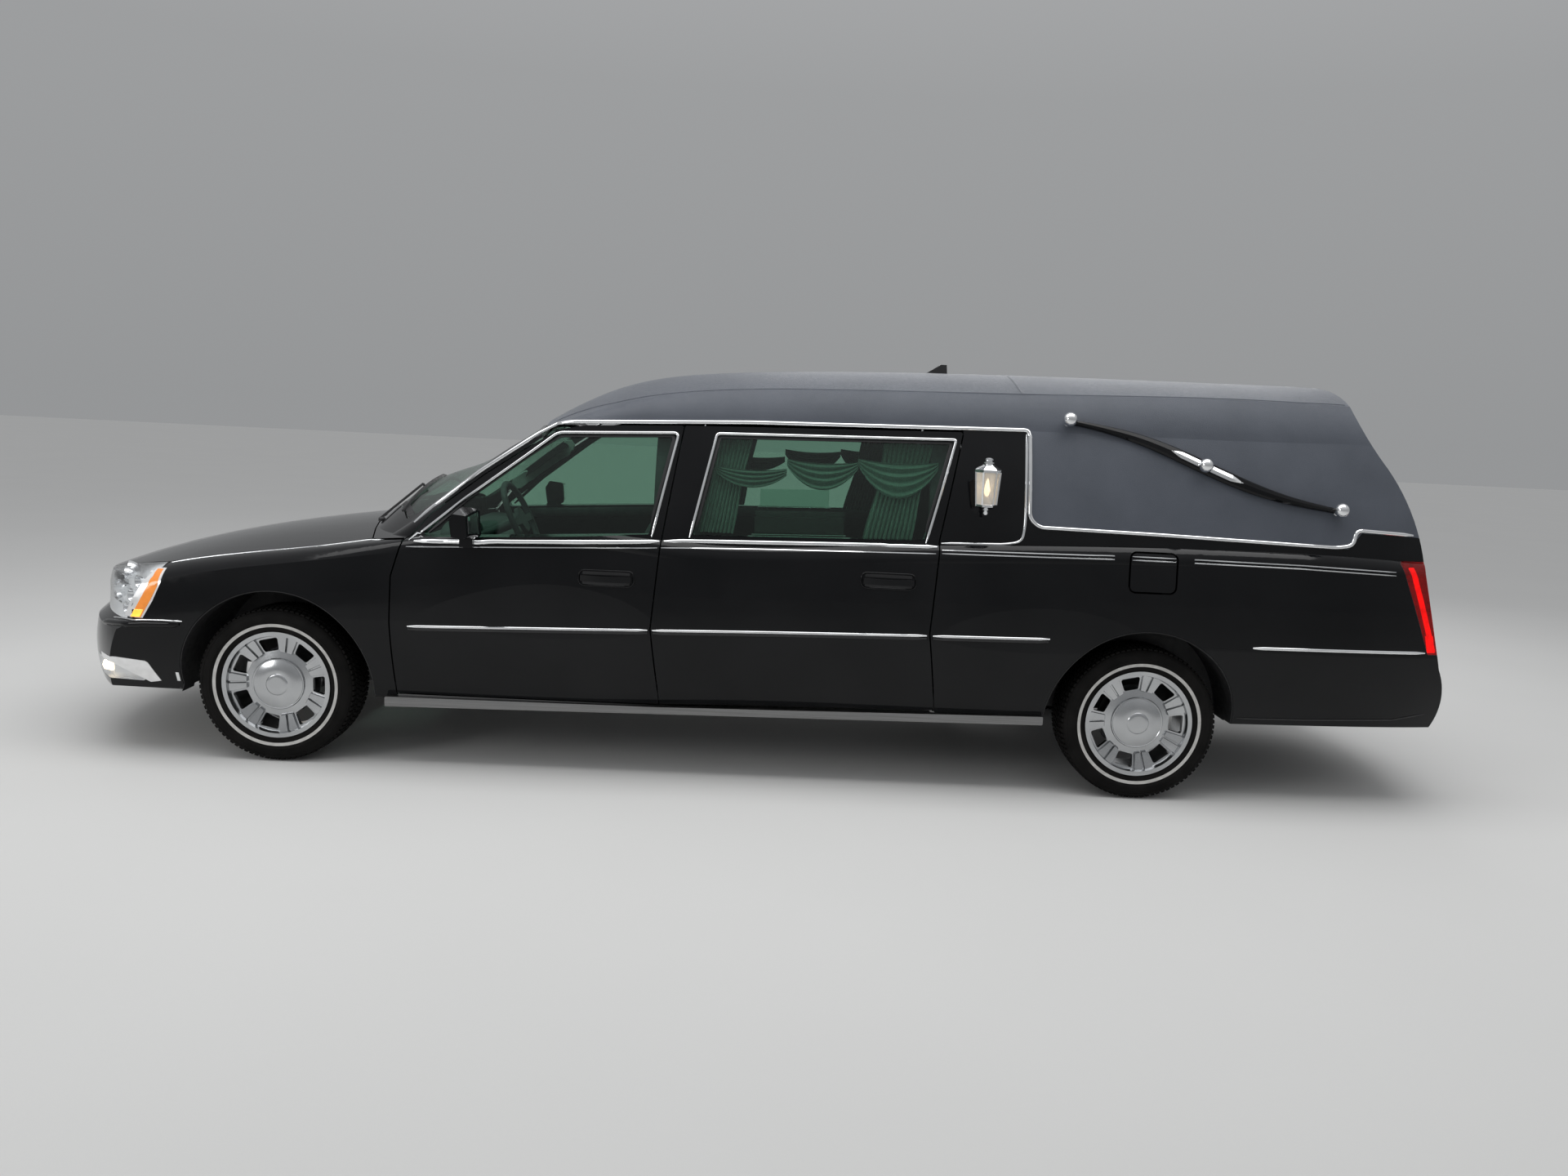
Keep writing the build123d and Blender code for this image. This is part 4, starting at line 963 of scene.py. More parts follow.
def grown(shaped, x, z, end):
    """Indices of the smooth outer faces round a side-view point. end: -1 nose, 1 tail."""
    first = BVHTree.FromBMesh(shaped).ray_cast(Vector((x, -2.0, z)), Vector((0, 1, 0)))[2]
    reach, seen = [shaped.faces[first]], {first}
    while reach:
        for edge in reach.pop().edges:
            if len(edge.link_faces) != 2 or edge.calc_face_angle(0) > SMOOTH:
                continue
            for near in edge.link_faces:
                turn = near.normal
                outer = turn.y < -0.15 or turn.x * end > 0.3 or turn.z > 0.5
                if near.index not in seen and outer and turn.x * end > -0.35 and turn.z > -0.5:
                    seen.add(near.index)
                    reach.append(near)
    return seen


def picked(faces):
    """Some faces of a mesh as corners and faces of their own."""
    used, corners, rings = {}, [], []
    for face in faces:
        for vertex in face.verts:
            if vertex.index not in used:
                used[vertex.index] = len(corners)
                corners.append(vertex.co.copy())
        rings.append(tuple(used[vertex.index] for vertex in face.verts))
    return corners, rings


def patches(name, x, z, end=-1):
    """The lens and the bowl of the left lamp of a node."""
    shaped = bmesh.new()
    shaped.from_mesh(nodes[name].data)
    bmesh.ops.remove_doubles(shaped, verts=shaped.verts, dist=WELD)
    shaped.faces.ensure_lookup_table()
    seen = grown(shaped, x, z, end)
    left = [face for face in shaped.faces if face.calc_center_median().y < 0]
    parts = (picked([f for f in left if f.index in seen]),
             picked([f for f in left if f.index not in seen]))
    shaped.free()
    print(name, "lens faces:", len(parts[0][1]), "bowl faces:", len(parts[1][1]))
    return parts


front_lens, front_bowl = patches("front_lamps", -2.9, 0.72)

# %% Give a patch its thickness
def thick(part, depth, inward):
    """A patch given a thickness, closed round its rim. It grows towards a point."""
    corners, faces = part
    shaped = bmesh.new()
    made = [shaped.verts.new(c) for c in corners]
    for face in faces:
        shaped.faces.new([made[i] for i in face])
    bmesh.ops.remove_doubles(shaped, verts=shaped.verts, dist=WELD)
    shaped.normal_update()
    mean = sum((f.normal * f.calc_area() for f in shaped.faces), Vector())
    centre = sum((v.co for v in shaped.verts), Vector()) / len(shaped.verts)
    shift = depth if (Vector(inward) - centre).dot(mean) > 0 else -depth
    index = {v: i for i, v in enumerate(shaped.verts)}
    count = len(index)
    points = [v.co.copy() for v in shaped.verts] + [v.co + v.normal * shift for v in shaped.verts]
    shell = [tuple(index[v] for v in f.verts) for f in shaped.faces]
    shell += [tuple(count + i for i in face)[::-1] for face in shell]
    for edge in shaped.edges:
        if len(edge.link_faces) == 1:
            a, b = (index[v] for v in edge.verts)
            shell.append((a, b, count + b, count + a))
    shaped.free()
    return points, shell


def bowl_pair(name, part, finish, inward):
    """Bowls that are bright towards the lens and black plastic towards the inside of the car."""
    points, shell = thick(part, 0.002, inward)
    sides = [int(max(ring) >= len(points) // 2) for ring in shell]
    return side_pair(name, points, shell, finish, "root", "chrome", finish_of=sides,
                     finishes=(dark_plastic,))


def lens_pair(name, part, finish, slot, inward, node):
    """Clear skins that stand for a node's lamps."""
    for piece in side_pair(name, *thick(part, 0.003, inward), finish, "root", slot):
        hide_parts(node)


# The bright side of the front bowls carries a painted glow.
bowl_pair("front_bowl", front_bowl, bowl_painted_glow, (-2.6, -0.4, 0.72))
lens_pair("front_lens", front_lens, lamp_lens, "lamp_lens", (-2.6, -0.5, 0.72), "front_lamps")
print("front lens and bowl made")

# %% [markdown]
# Behind the front lens sit a low beam and a high beam, one above the other in a slanted
# row, each a bright parabola with a bulb, between chrome fins. The side of the lens
# shows three smaller cups in a slanted row.

# %% Reflector cups
CUP_AIM = (-1, -0.30, 0.02)
SIDE_AIM = Vector((-0.60, -0.79, 0.05)).normalized()


def lamp_cup(place, aim, radius, depth, bulb):
    """Parabolic reflector with a bulb, its mouth facing along aim, as (reflector, bulb)."""
    wall = [(depth * (r / radius) ** 2, max(r, 0.0005))
            for r in (radius * k / 10 for k in range(11))]
    back = [(y - 0.003, r + 0.002) for y, r in reversed(wall)]
    cup = ring_of(wall + [(depth, radius + 0.004)] + back, 40)
    return aimed(cup, aim, place), aimed(ball(bulb, 8, 20, depth * 0.25), aim, place)


def behind_lens(y, z, depth):
    """Point a given depth in millimetres behind the lamp's outside, straight from the front."""
    place, _ = cast(("front_lamps",), (-6.0, y * MM, z * MM), (1, 0, 0))
    return place + Vector((depth * MM, 0, 0))


cups = [lamp_cup(behind_lens(y, z, 78), CUP_AIM, radius, 0.044, 0.011) for y, z, radius in (
    (-705, 700, 0.040), (-600, 690, 0.044), (-645, 785, 0.034), (-500, 695, 0.044),
    (-745, 778, 0.026))]
for x, z, radius in ((-598, 762, 0.025), (-636, 700, 0.027), (-679, 637, 0.023)):
    outside, _ = side_cast(("front_lamps",), x, z)
    mouth = outside + Vector((0, 0.028, 0)) - SIDE_AIM * 0.030
    cups.append(lamp_cup(mouth, SIDE_AIM, radius, 0.030, 0.007))
print("reflector cups:", len(cups))

# %% Lamp fins and bulbs
def lamp_fin(z, reach, thickness=1.6, inner=-410):
    """Level bright ledge that follows the lens a little way behind it."""
    levels = [[behind_lens(y, z + lift, depth) + Vector((0, 0.004, 0))
               for y in range(-815, inner, 27)]
              for lift, depth in ((0, 10), (0, reach), (thickness, reach), (thickness, 10))]
    return [p for row in zip(*levels) for p in row], capped_rings(len(levels[0]), 4)


fins = [lamp_fin(z, 46) for z in (652, 736)] + [lamp_fin(z, 34, 1.2, -655) for z in (776, 787, 798)]
side_pair("lamp_reflector", *joined(*(cup for cup, _ in cups), *fins), chrome, "root", "chrome")
side_pair("lamp_bulb", *joined(*(bulb for _, bulb in cups)), lamp_glow, "root", "lamp_lens")
print("fins:", len(fins))

# %% Fog lamp lenses
fog_lens, fog_bowl = patches("fog_lamps", -2.85, 0.38)
lens_pair("fog_lens", fog_lens, lamp_lens, "lamp_lens", (-2.7, -0.5, 0.38), "fog_lamps")
bowl_pair("fog_bowl", fog_bowl, lamp_silver, (-2.6, -0.4, 0.38))

# %% [markdown]
# The coach lamps are six-sided lanterns that widen upwards: a plate at each end, six
# posts, six warm panes and a stacked finial above and below. The posts and panes repeat
# round the lantern, so they're drawn once and turned in steps of sixty degrees.

# %% Lantern forms
SIX = 6
BAR_FACES = [(0, 1, 2, 3), (7, 6, 5, 4), (0, 4, 5, 1), (1, 5, 6, 2), (2, 6, 7, 3), (3, 7, 4, 0)]


def lathe(profile, steps, origin=(0, 0, 0)):
    """A profile of (radius, height) turned round the upright axis."""
    corners, faces = ring_of([(z, r) for r, z in profile], steps, closed=False, capped=True)
    return placed(([Vector((c.x, c.z, c.y)) for c in corners], faces), origin)


def hexagon(levels):
    """A closed six-sided form through levels of (reach, height), corners fore and aft."""
    corners = [Vector((reach * cos(k * pi / 3), reach * sin(k * pi / 3), height))
               for reach, height in levels for k in range(SIX)]
    return corners, capped_rings(len(levels), SIX)


def bar_between(start, stop, width, out):
    """Square bar from one point to another, one side facing along out."""
    start, stop, out = Vector(start), Vector(stop), Vector(out).normalized()
    along = (stop - start).normalized()
    side = along.cross(out).normalized() * width / 2
    face = side.cross(along).normalized() * width / 2
    corners = [end + a * side + b * face for end in (start, stop)
               for a, b in ((-1, -1), (1, -1), (1, 1), (-1, 1))]
    return corners, BAR_FACES


def pane(low, high, inset, depth):
    """One sloping pane of the lantern, between the corner at zero and the next one."""
    a, b = Vector((1, 0)), Vector((cos(pi / 3), sin(pi / 3)))
    corners = []
    for reach, height in (low, high):
        for level, ends in ((reach, ((a, b), (b, a))), (reach - depth, ((b, a), (a, b)))):
            for p, q in ends:
                flat = p * level * (1 - inset) + q * level * inset
                corners.append(Vector((flat.x, flat.y, height)))
    return corners, BAR_FACES


print("a hexagon has", len(hexagon(((0.04, 0), (0.04, 0.1)))[1]), "faces")

# %% Lantern frame
LAMP_AT = (REAR_AXLE - 0.740, -0.905, 0)
FOOT, EAVES = 1.257, 1.404
FOOT_REACH, EAVES_REACH = 0.0425, 0.0525


def above(level, profile):
    """A profile of (reach, height) raised to a level."""
    return [(reach, level + height) for reach, height in profile]


lantern = [
    hexagon(above(FOOT, ((0.040, 0), (0.045, 0.003), (0.045, 0.011), (0.041, 0.014)))),
    hexagon(above(EAVES, ((0.0505, -0.004), (0.056, 0), (0.056, 0.011), (0.050, 0.017),
                          (0.026, 0.030), (0.023, 0.033)))),
    lathe(above(EAVES, ((0.017, 0.031), (0.019, 0.036), (0.0235, 0.038), (0.0235, 0.043),
                        (0.016, 0.046), (0.0145, 0.048), (0.0185, 0.052), (0.0185, 0.057),
                        (0.011, 0.061), (0.003, 0.063))), 28),
    lathe(above(FOOT, ((0.003, -0.035), (0.009, -0.032), (0.0125, -0.026), (0.009, -0.020),
                       (0.0075, -0.016), (0.0125, -0.012), (0.0125, -0.008), (0.009, -0.005),
                       (0.022, -0.002), (0.026, 0.001))), 28),
]
post = bar_between((FOOT_REACH, 0, FOOT + 0.011), (EAVES_REACH, 0, EAVES + 0.001), 0.0075,
                   (1, 0, 0))
lantern.append(repeated(*post, SIX, chrome, turn=(0, 0, pi / 3)))
print("lantern parts:", len(lantern))

# %% [markdown]
# The lantern stands off the wall on an arm with a round rose. Its glass scatters, so it
# mixes a see-through share with a pale satin one.

# %% Coach lamps
def frosted(name, tint, solid):
    """Glass that scatters: a see-through share beside a pale satin one."""
    material = new_finish(name, tint, 0.25)
    tree = material.node_tree
    through = add_node(tree, "BsdfTransparent", Color=(*tint, 1))
    span = add_node(tree, "MapRange", To_Min=solid - 0.06, To_Max=solid + 0.06)
    mix = add_node(tree, "MixShader")
    tree.links.new(pattern_of(material, noise(260.0, 2.0)), span.inputs[0])
    tree.links.new(span.outputs[0], mix.inputs[0])
    tree.links.new(through.outputs[0], mix.inputs[1])
    tree.links.new(tree.nodes["Principled BSDF"].outputs[0], mix.inputs[2])
    tree.links.new(mix.outputs[0], tree.nodes["Material Output"].inputs[0])
    return material


lantern_glass = frosted("lantern_glass", (0.96, 0.93, 0.88), 0.42)
wall_at, wall_out = cast(QUARTER, (LAMP_AT[0], -CAST_FROM, 1.330), (0, 1, 0))
arm = bar_between(wall_at - wall_out * 0.002, (LAMP_AT[0], LAMP_AT[1] + 0.030, 1.332), 0.016,
                  (0, 0, 1))
rose = ring_of(((0.0, 0.029), (0.004, 0.029), (0.008, 0.024), (0.009, 0.012)), 32, closed=False,
               capped=True)
coach_lamp = joined(placed(joined(*lantern), LAMP_AT), arm, aimed(rose, wall_out, wall_at))
for piece in side_pair("coach_lamp", *coach_lamp, chrome, "root", "chrome", smooth_angle=30):
    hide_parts("coach_lamps")
print("coach lamp faces:", len(coach_lamp[1]))

# %% Coach lamp candle and panes
holder = lathe(above(FOOT, ((0.014, 0.014), (0.014, 0.040), (0.010, 0.044), (0.003, 0.046))), 20,
               LAMP_AT)
candle = lathe(above(FOOT, ((0.006, 0.047), (0.011, 0.058), (0.013, 0.072), (0.011, 0.090),
                            (0.006, 0.112), (0.002, 0.122))), 20, LAMP_AT)
panes = repeated(*pane((FOOT_REACH, FOOT + 0.013), (EAVES_REACH, EAVES - 0.003), 0.075, 0.0025),
                 SIX, lantern_glass, turn=(0, 0, pi / 3))
side_pair("coach_lamp_holder", *holder, white_rubber, "root", "lamp_lens")
side_pair("coach_lamp_panes", *placed(panes, LAMP_AT), lantern_glass, "root", "lamp_lens",
          smooth_angle=20)
side_pair("coach_lamp_candle", *candle, lamp_glow, "root", "lamp_lens")
print("pane faces:", len(panes[1]))

# %% [markdown]
# The landau bars are the long S shapes on the padded roof, once hinges of a folding
# hood. Each is a bevelled gloss black bar that swells in the middle, with a pointed
# chrome insert either side of the centre ball and a ball at each end.

# %% The S of the landau bar
BAR_ENDS = ((3383, 1630), (3967, 1463), (4554, 1303))


def bar_station(t):
    """Side-view centre and width of the bar at t from 0 to 1."""
    (x0, z0), _, (x1, z1) = BAR_ENDS
    wave = 26 * sin(2 * pi * t) * (1 if t < 0.5 else 0.95)
    swell = 0.5 - 0.5 * cos(2 * pi * t)
    middle = Vector((x0 + (x1 - x0) * t, z0 + (z1 - z0) * t + wave - 3 * swell))
    return middle, 23 + 34 * swell ** 0.8


def bar_part(t0, t1, steps, profile, width_of):
    """Corners and faces of a bar along the S from t0 to t1."""
    stations, widths = [], []
    for k in range(steps + 1):
        here, width = bar_station(t0 + (t1 - t0) * k / steps)
        stations.append(side_cast(("vinyl_top",), here.x, here.y))
        widths.append(width_of(k / steps, width) * MM)
    stations = steady(stations, 8)
    corners = []
    for k, (place, normal) in enumerate(stations):
        ahead = stations[min(k + 1, steps)][0] - stations[max(k - 1, 0)][0]
        across = ahead.cross(normal).normalized()
        corners += [place + across * (u * widths[k]) + normal * v for u, v in profile]
    return corners, capped_rings(steps + 1, len(profile))


print("bar width in mm at the middle:", round(bar_station(0.5)[1], 1))

# %% Landau bars
BAR_PROFILE = ((-0.5, 0.0060), (-0.5, 0.0135), (-0.36, 0.0215), (0.0, 0.0255), (0.36, 0.0215),
               (0.5, 0.0135),
               (0.5, 0.0060))
INSERT_PROFILE = ((-0.5, 0.0190), (-0.5, 0.0262), (0.0, 0.0300), (0.5, 0.0262), (0.5, 0.0190))
INSERT_WIDTH, POINTED = 27, 3.2

bar = bar_part(0.008, 0.992, 64, BAR_PROFILE, lambda s, width: width)
inserts = joined(
    bar_part(0.375, 0.492, 12, INSERT_PROFILE,
             lambda s, _: 1.0 + INSERT_WIDTH * min(1.0, s * POINTED)),
    bar_part(0.508, 0.640, 12, INSERT_PROFILE,
             lambda s, _: 1.0 + INSERT_WIDTH * min(1.0, (1 - s) * POINTED)))
for piece in side_pair("landau_bar", *bar, black_paint, "root", "black_paint", smooth_angle=20):
    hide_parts("landau_bars")
side_pair("landau_insert", *inserts, chrome, "root", "chrome", smooth_angle=15)
balls = []
for x, z in BAR_ENDS:
    place, normal = side_cast(("vinyl_top",), x, z)
    stem = ring_of(((0.0, 0.019), (0.003, 0.019), (0.005, 0.013), (0.020, 0.011)), 24, closed=False,
                   capped=True)
    balls += [aimed(ball(0.031, 16, 32), normal, place + normal * 0.0405),
              aimed(stem, normal, place)]
side_pair("landau_balls", *joined(*balls), chrome, "root", "chrome")
print("bar faces:", len(bar[1]))

# %% [markdown]
# Behind each rear side window hang grey-green drapes: a pleated panel at either end and
# three swags along the top, gathered at two knots. Each is a single sheet of cloth. A
# pleated panel is a wave across its width, and a swag sags between its two knots with
# folds that follow the sag. The flat width before gathering is measured along the wave.

# %% Cloth sheets
DRAPE_TOP, DRAPE_FOOT = 1.505, 1.085
DRAPE_WALL = ((1.07, -0.822), (1.30, -0.780), (1.43, -0.738), (1.52, -0.694))
drape_cloth = new_finish("drape_cloth", (0.10, 0.16, 0.135), 0.75, Sheen_Weight=0.6,
                         Sheen_Roughness=0.35)
spread(drape_cloth, "Base Color", noise(40.0, 5.0, stretch=(4, 4, 0.4)), (0.075, 0.125, 0.105),
       (0.135, 0.205, 0.175))
bump(drape_cloth, noise(900.0, 2.0), 0.0003, 0.5)


def drape_depth(z):
    """How far out a drape hangs at a height, just inside the window."""
    for (z0, y0), (z1, y1) in zip(DRAPE_WALL, DRAPE_WALL[1:]):
        if z <= z1:
            return y0 + (y1 - y0) * (z - z0) / (z1 - z0)
    return DRAPE_WALL[-1][1]


def cloth_grid(place, across, down):
    """Single sheet from a function of (s, t), as corners and faces."""
    corners = [Vector(place(i / across, k / down))
               for k in range(down + 1) for i in range(across + 1)]
    wide = across + 1
    faces = [(a, a + 1, a + wide + 1, a + wide)
             for k in range(down) for a in range(k * wide, k * wide + across)]
    return corners, faces


def cloth_size(corners, faces, across):
    """Flat width along the top edge, and area."""
    top = corners[:across + 1]
    area = sum((corners[c] - corners[a]).cross(corners[d] - corners[b]).length / 2
               for a, b, c, d in faces)
    return sum((b - a).length for a, b in zip(top, top[1:])), area


print("drapes hang", round(drape_depth(DRAPE_TOP) - drape_depth(DRAPE_FOOT), 3),
      "m further in at the top")

# %% Pleats and swags
PLEAT_STEPS, SWAG_STEPS = 26, 40


def pleated(x0, x1, lean, folds):
    """Gathered panel between two x positions at the foot, leaning with the window's edge."""
    def place(s, t):
        z = DRAPE_TOP + (DRAPE_FOOT - DRAPE_TOP) * t
        waist = 1.0 - 0.10 * sin(pi * min(1.0, t * 1.1)) ** 2
        wave = sin(2 * pi * folds * s + 0.5 * sin(7 * s + 3 * t))
        x = (x0 + x1) / 2 + lean * (1 - t) + (s - 0.5) * (x1 - x0) * waist
        return x, drape_depth(z) + 0.016 + 0.011 * wave * (0.55 + 0.45 * t), z
    return *cloth_grid(place, PLEAT_STEPS * folds, 14), PLEAT_STEPS * folds


def swag(x0, x1, top, sag, folds=4):
    """Festoon between two knots, its folds sagging with it."""
    def place(s, t):
        hang = 4 * s * (1 - s)
        z = top - 0.012 * hang - (0.030 + (sag - 0.030) * hang ** 0.9) * t
        fold = sin(2 * pi * folds * t ** 0.85) * (0.3 + 0.7 * hang)
        bulge = 0.030 * hang * sin(pi * (0.15 + 0.8 * t))
        return x0 + (x1 - x0) * s, drape_depth(z) - bulge * 0.35 + 0.011 * fold, z
    return *cloth_grid(place, SWAG_STEPS, 44), SWAG_STEPS


for label, (corners, faces, across) in (
        ("pleats_front", pleated(-0.287, -0.135, 0.070, 9)),
        ("pleats_rear", pleated(0.425, 0.640, 0.085, 11)),
        ("swag_front", swag(-0.220, 0.085, 1.372, 0.075)),
        ("swag_middle", swag(0.085, 0.395, 1.415, 0.115)),
        ("swag_rear", swag(0.395, 0.745, 1.430, 0.150))):
    width, area = cloth_size(corners, faces, across)
    pair = side_pair(label, corners, faces, drape_cloth, REAR_DOOR, None, smooth_angle=60)
    print(label, "flat width", round(width, 3), "area", round(area, 4))

# %% [markdown]
# The front seats are leather over foam. Each cushion is a crowned block whose sides pull
# in between the corners, with sewn channels across its middle, so it starts as a fine
# grid on a rounded box and is pushed in along the seams.

# %% Cushion form
SEAM_DEPTH, SEAM_WIDTH = 0.012, 0.008
SIDE_SEAM = 0.62
ROUNDNESS, CROWN = 0.30, 0.25


def power(value, exponent):
    """Power that keeps the sign."""
    return (1 if value >= 0 else -1) * abs(value) ** exponent


def cushion(size, channels, rings=30, sides=56):
    """Crowned closed pad centred on the origin, length along X, width along Y, height along Z."""
    half = [s / 2 for s in size]
    corners = []
    for k in range(rings + 1):
        lift = -pi / 2 + pi * k / rings
        flat = power(cos(lift), ROUNDNESS + 0.12)
        for i in range(sides):
            turn = 2 * pi * i / sides
            x = half[0] * flat * power(cos(turn), ROUNDNESS)
            y = half[1] * flat * power(sin(turn), ROUNDNESS)
            z = half[2] * power(sin(lift), ROUNDNESS + 0.25)
            swell = (1 - (x / half[0]) ** 2) * (1 - (y / half[1]) ** 2)
            z += half[2] * CROWN * swell * (1 if z > 0 else 0.2)
            if z > 0:
                seams = [x - c for c in channels] + [abs(y) - SIDE_SEAM * half[1]]
                z -= sum(SEAM_DEPTH * exp(-(away / SEAM_WIDTH) ** 2) for away in seams)
            corners.append(Vector((x, y, z)))
    return corners, capped_rings(rings + 1, sides)


def leaned(part, degrees_back, place):
    """A pad leaned back about the Y axis and set at a place."""
    turn = Matrix.Rotation(radians(degrees_back), 3, "Y")
    return placed(([turn @ c for c in part[0]], part[1]), place)


print("cushion faces:", len(cushion((0.5, 0.47, 0.15), (0,))[1]))

# %% Front seats
SEAT_Y = -0.360
base = leaned(cushion((0.50, 0.47, 0.15), (-0.10, -0.02, 0.06)), -5,
              (FRONT_AXLE + 1.290, SEAT_Y, 0.545))
back = leaned(cushion((0.56, 0.47, 0.13), (-0.12, -0.02, 0.08)), -72,
              (FRONT_AXLE + 1.545, SEAT_Y, 0.850))
for side, sign in SIDES:
    for label, (corners, faces) in (("cushion", base), ("backrest", back)):
        pad = make_piece(f"seat_{label}_{side}", on_side(corners, sign), faces, seat_leather,
                         "root", "seat_leather", 70)
        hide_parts("front_seats")
seat_foot = [(FRONT_AXLE + x, SEAT_Y + y)
             for x, y in ((1.10, -0.19), (1.50, -0.19), (1.50, 0.19), (1.10, 0.19))]
side_pair("seat_base", *prism(seat_foot, 0.3405, 0.480, 0.006), dark_plastic, "root",
          "dark_plastic")
print("seats at y", SEAT_Y, "and", -SEAT_Y)

# %% [markdown]
# Some trim lies on the nose, the tail or the top, where a cast from the side would miss.
# The same sweep works there, with points cast from above or from the end of the car.

# %% Strips from above and from the ends
def over_cast(names, x, y):
    """Top of some nodes at a plan-view point, x in millimetres from the front axle."""
    return cast(names, (FRONT_AXLE + x * MM, y * MM, 3.0), (0, 0, -1))


def tail_cast(names, y, z):
    """Tail of some nodes at an end-view point in millimetres."""
    return cast(names, (6.0, y * MM, z * MM), (-1, 0, 0))


def laid_strip(points, profile, caster, step=30, closed=False):
    """Corners and faces of a profile along points cast by a function of two coordinates."""
    stations = [caster(a, b) for a, b in divided(points, step, closed)]
    return sweep([met for met in stations if met], profile, closed)


# The chrome bead along the fender's edge at the hood gap is a painted highlight. It stands in for the
# bright line of light along the hood's shut line.
HOOD_EDGE = ((-480, -812), (-350, -813), (-200, -818), (0, -824), (200, -832), (372, -820),
             (440, -811))
hood_edge = laid_strip(HOOD_EDGE, bead(0.007, 0.003),
                       lambda x, y: over_cast(("front_fenders",), x, y))
side_pair("hood_line", *hood_edge, chrome, "root", "chrome")
print("hood line faces:", len(hood_edge[1]))

# %% [markdown]
# Bumper ridges are small, but a car without them looks like a toy. The black ridge over
# the front bumper is wide and high, and a bright line follows just above it.

# %% Bumper ridges
NOSE = ("front_bumper", "front_fenders")
for name, points, profile, finish, slot, under, step in (
        ("front_ridge", ((-800, 562), (-742, 572), (-640, 585), (-540, 592), (-392, 596)),
         bead(0.030, 0.013), black_paint, "black_paint", NOSE, 20),
        # The bright bead over the front ridge is partly chrome trim and partly a painted highlight of
        # the light along the ridge's top edge.
        ("front_ridge_line", ((-742, 589), (-640, 601), (-550, 608), (-460, 611), (-378, 609)),
         bead(0.009, 0.006), chrome, "chrome", NOSE, 20),
        ("rear_ridge_line", ((4205, 708), (4600, 712), (4968, 715)), bead(0.015, 0.006), chrome,
         "chrome", ("rear_quarters", "rear_bumper"), 40),
        # The matt dark strip along the rear bumper's crease is painted shade, the dark line of the
        # fold.
        ("rear_crease", ((4110, 378), (4500, 384), (4895, 398), (5040, 430)),
         moulding(0.007, 0.003, 0.001), dark_plastic, "dark_plastic", ("rear_bumper",), 40)):
    strip(name, points, profile, finish, "root", under, slot, step=step)
    print(name, "from x", points[0][0], "to", points[-1][0], "mm")

# %% [markdown]
# Two wipers lie on the windscreen, each an arm with a hook and a blade. A black band is
# printed along the foot of the glass.

# %% Wipers and screen band
ARM_WIDTH, BLADE = 0.010, moulding(0.008, 0.014, 0.003)
screen_band = laid_strip(((301, 0), (325, -250), (420, -490), (498, -672)),
                         moulding(0.030, 0.0012, 0.0005),
                         lambda x, y: over_cast(("windscreen",), x + 17, y * 0.985))
side_pair("screen_band", *screen_band, dark_plastic, "root", "dark_plastic")


def on_screen(x, y):
    """Cast on the windscreen and what surrounds it."""
    return over_cast(("windscreen", "windscreen_frame", "hood"), x, y)


def wiper(root, tip, blade_start, blade_stop):
    """Arm and blade lying on the windscreen, from plan-view points in millimetres."""
    (foot, foot_up), (end, end_up) = on_screen(*root), on_screen(*tip)
    arm_end = end + end_up * 0.024
    arm = bar_between(foot + foot_up * 0.014, arm_end, ARM_WIDTH, end_up)
    pivot = lathe(((0.016, 0.0), (0.016, 0.012), (0.010, 0.018), (0.002, 0.019)), 20, foot)
    hook = bar_between(arm_end, end + end_up * 0.010, 0.009, (1, 0, 0))
    return joined(arm, pivot, laid_strip((blade_start, blade_stop), BLADE, on_screen, 25), hook)


wipers = joined(wiper((318, -470), (470, -300), (440, -560), (500, -60)),
                wiper((285, 60), (452, 260), (470, 20), (462, 520)))
make_piece("wipers", *wipers, dark_plastic, "root", "dark_plastic")
print("wiper faces:", len(wipers[1]))

# %% [markdown]
# Windows sit in rubber channels, so a thin dark strip lies on each glass edge. The
# moulding's black underside shows below its bright bead.

# %% Window seals and mouldings' undersides
SEAL = moulding(0.016, 0.004, 0.0015)
UNDERSIDE = moulding(0.012, 0.0045, 0.002)
strips((
    ("front_seal", ((640, 1030), (800, 1182), (1068, 1390), (1182, 1468), (1680, 1492),
                    (1590, 1068)), SEAL,
     FRONT_DOOR, 24, ("front_glass_left",)),
    ("rear_seal", ((1782, 1072), (1874, 1496), (2880, 1518), (2768, 1092)), SEAL, REAR_DOOR, 12,
     ("rear_glass_left",)),
    ("front_under_moulding", ((584, 623), (1606, 654)), UNDERSIDE, FRONT_DOOR, 0),
    ("rear_under_moulding", ((1628, 654), (2800, 686)), UNDERSIDE, REAR_DOOR, 0),
    ("quarter_under_moulding", ((2828, 686), (3322, 696)), UNDERSIDE, "root", 0, QUARTER),
), dark_plastic, "dark_plastic")

# %% [markdown]
# The padded roof is stitched from panels. A raised seam runs along each upper edge from
# front to rear, and one crosses the roof over the rear doors' end.

# %% Roof seams
WELT = bead(0.012, 0.0035)


def on_roof(x, y):
    """Cast on the padded roof from above."""
    return over_cast(("vinyl_top",), x, y)


seam = laid_strip(((1130, -560), (1400, -640), (2400, -652), (3320, -655), (4400, -650),
                   (4720, -612)), WELT, on_roof)
side_pair("roof_seam", *seam, roof_vinyl, "root", "roof_vinyl")
cross_seam = laid_strip([(3219 - 30 * cos(pi * k / 16), -640 + 80 * k) for k in range(17)],
                        WELT, on_roof, 80)
make_piece("roof_cross_seam", *cross_seam, roof_vinyl, "root", "roof_vinyl")
print("seam faces:", len(seam[1]), len(cross_seam[1]))

# %% [markdown]
# Some trim is a thin plate that follows the bodywork. A patch between two edges does
# this: rows run from one edge to the other, each point is cast on the body, and the
# plate stands a little proud with its rim sunk into the surface. A negative lift lays it
# inside the surface, as a strip of light lies inside a lens.

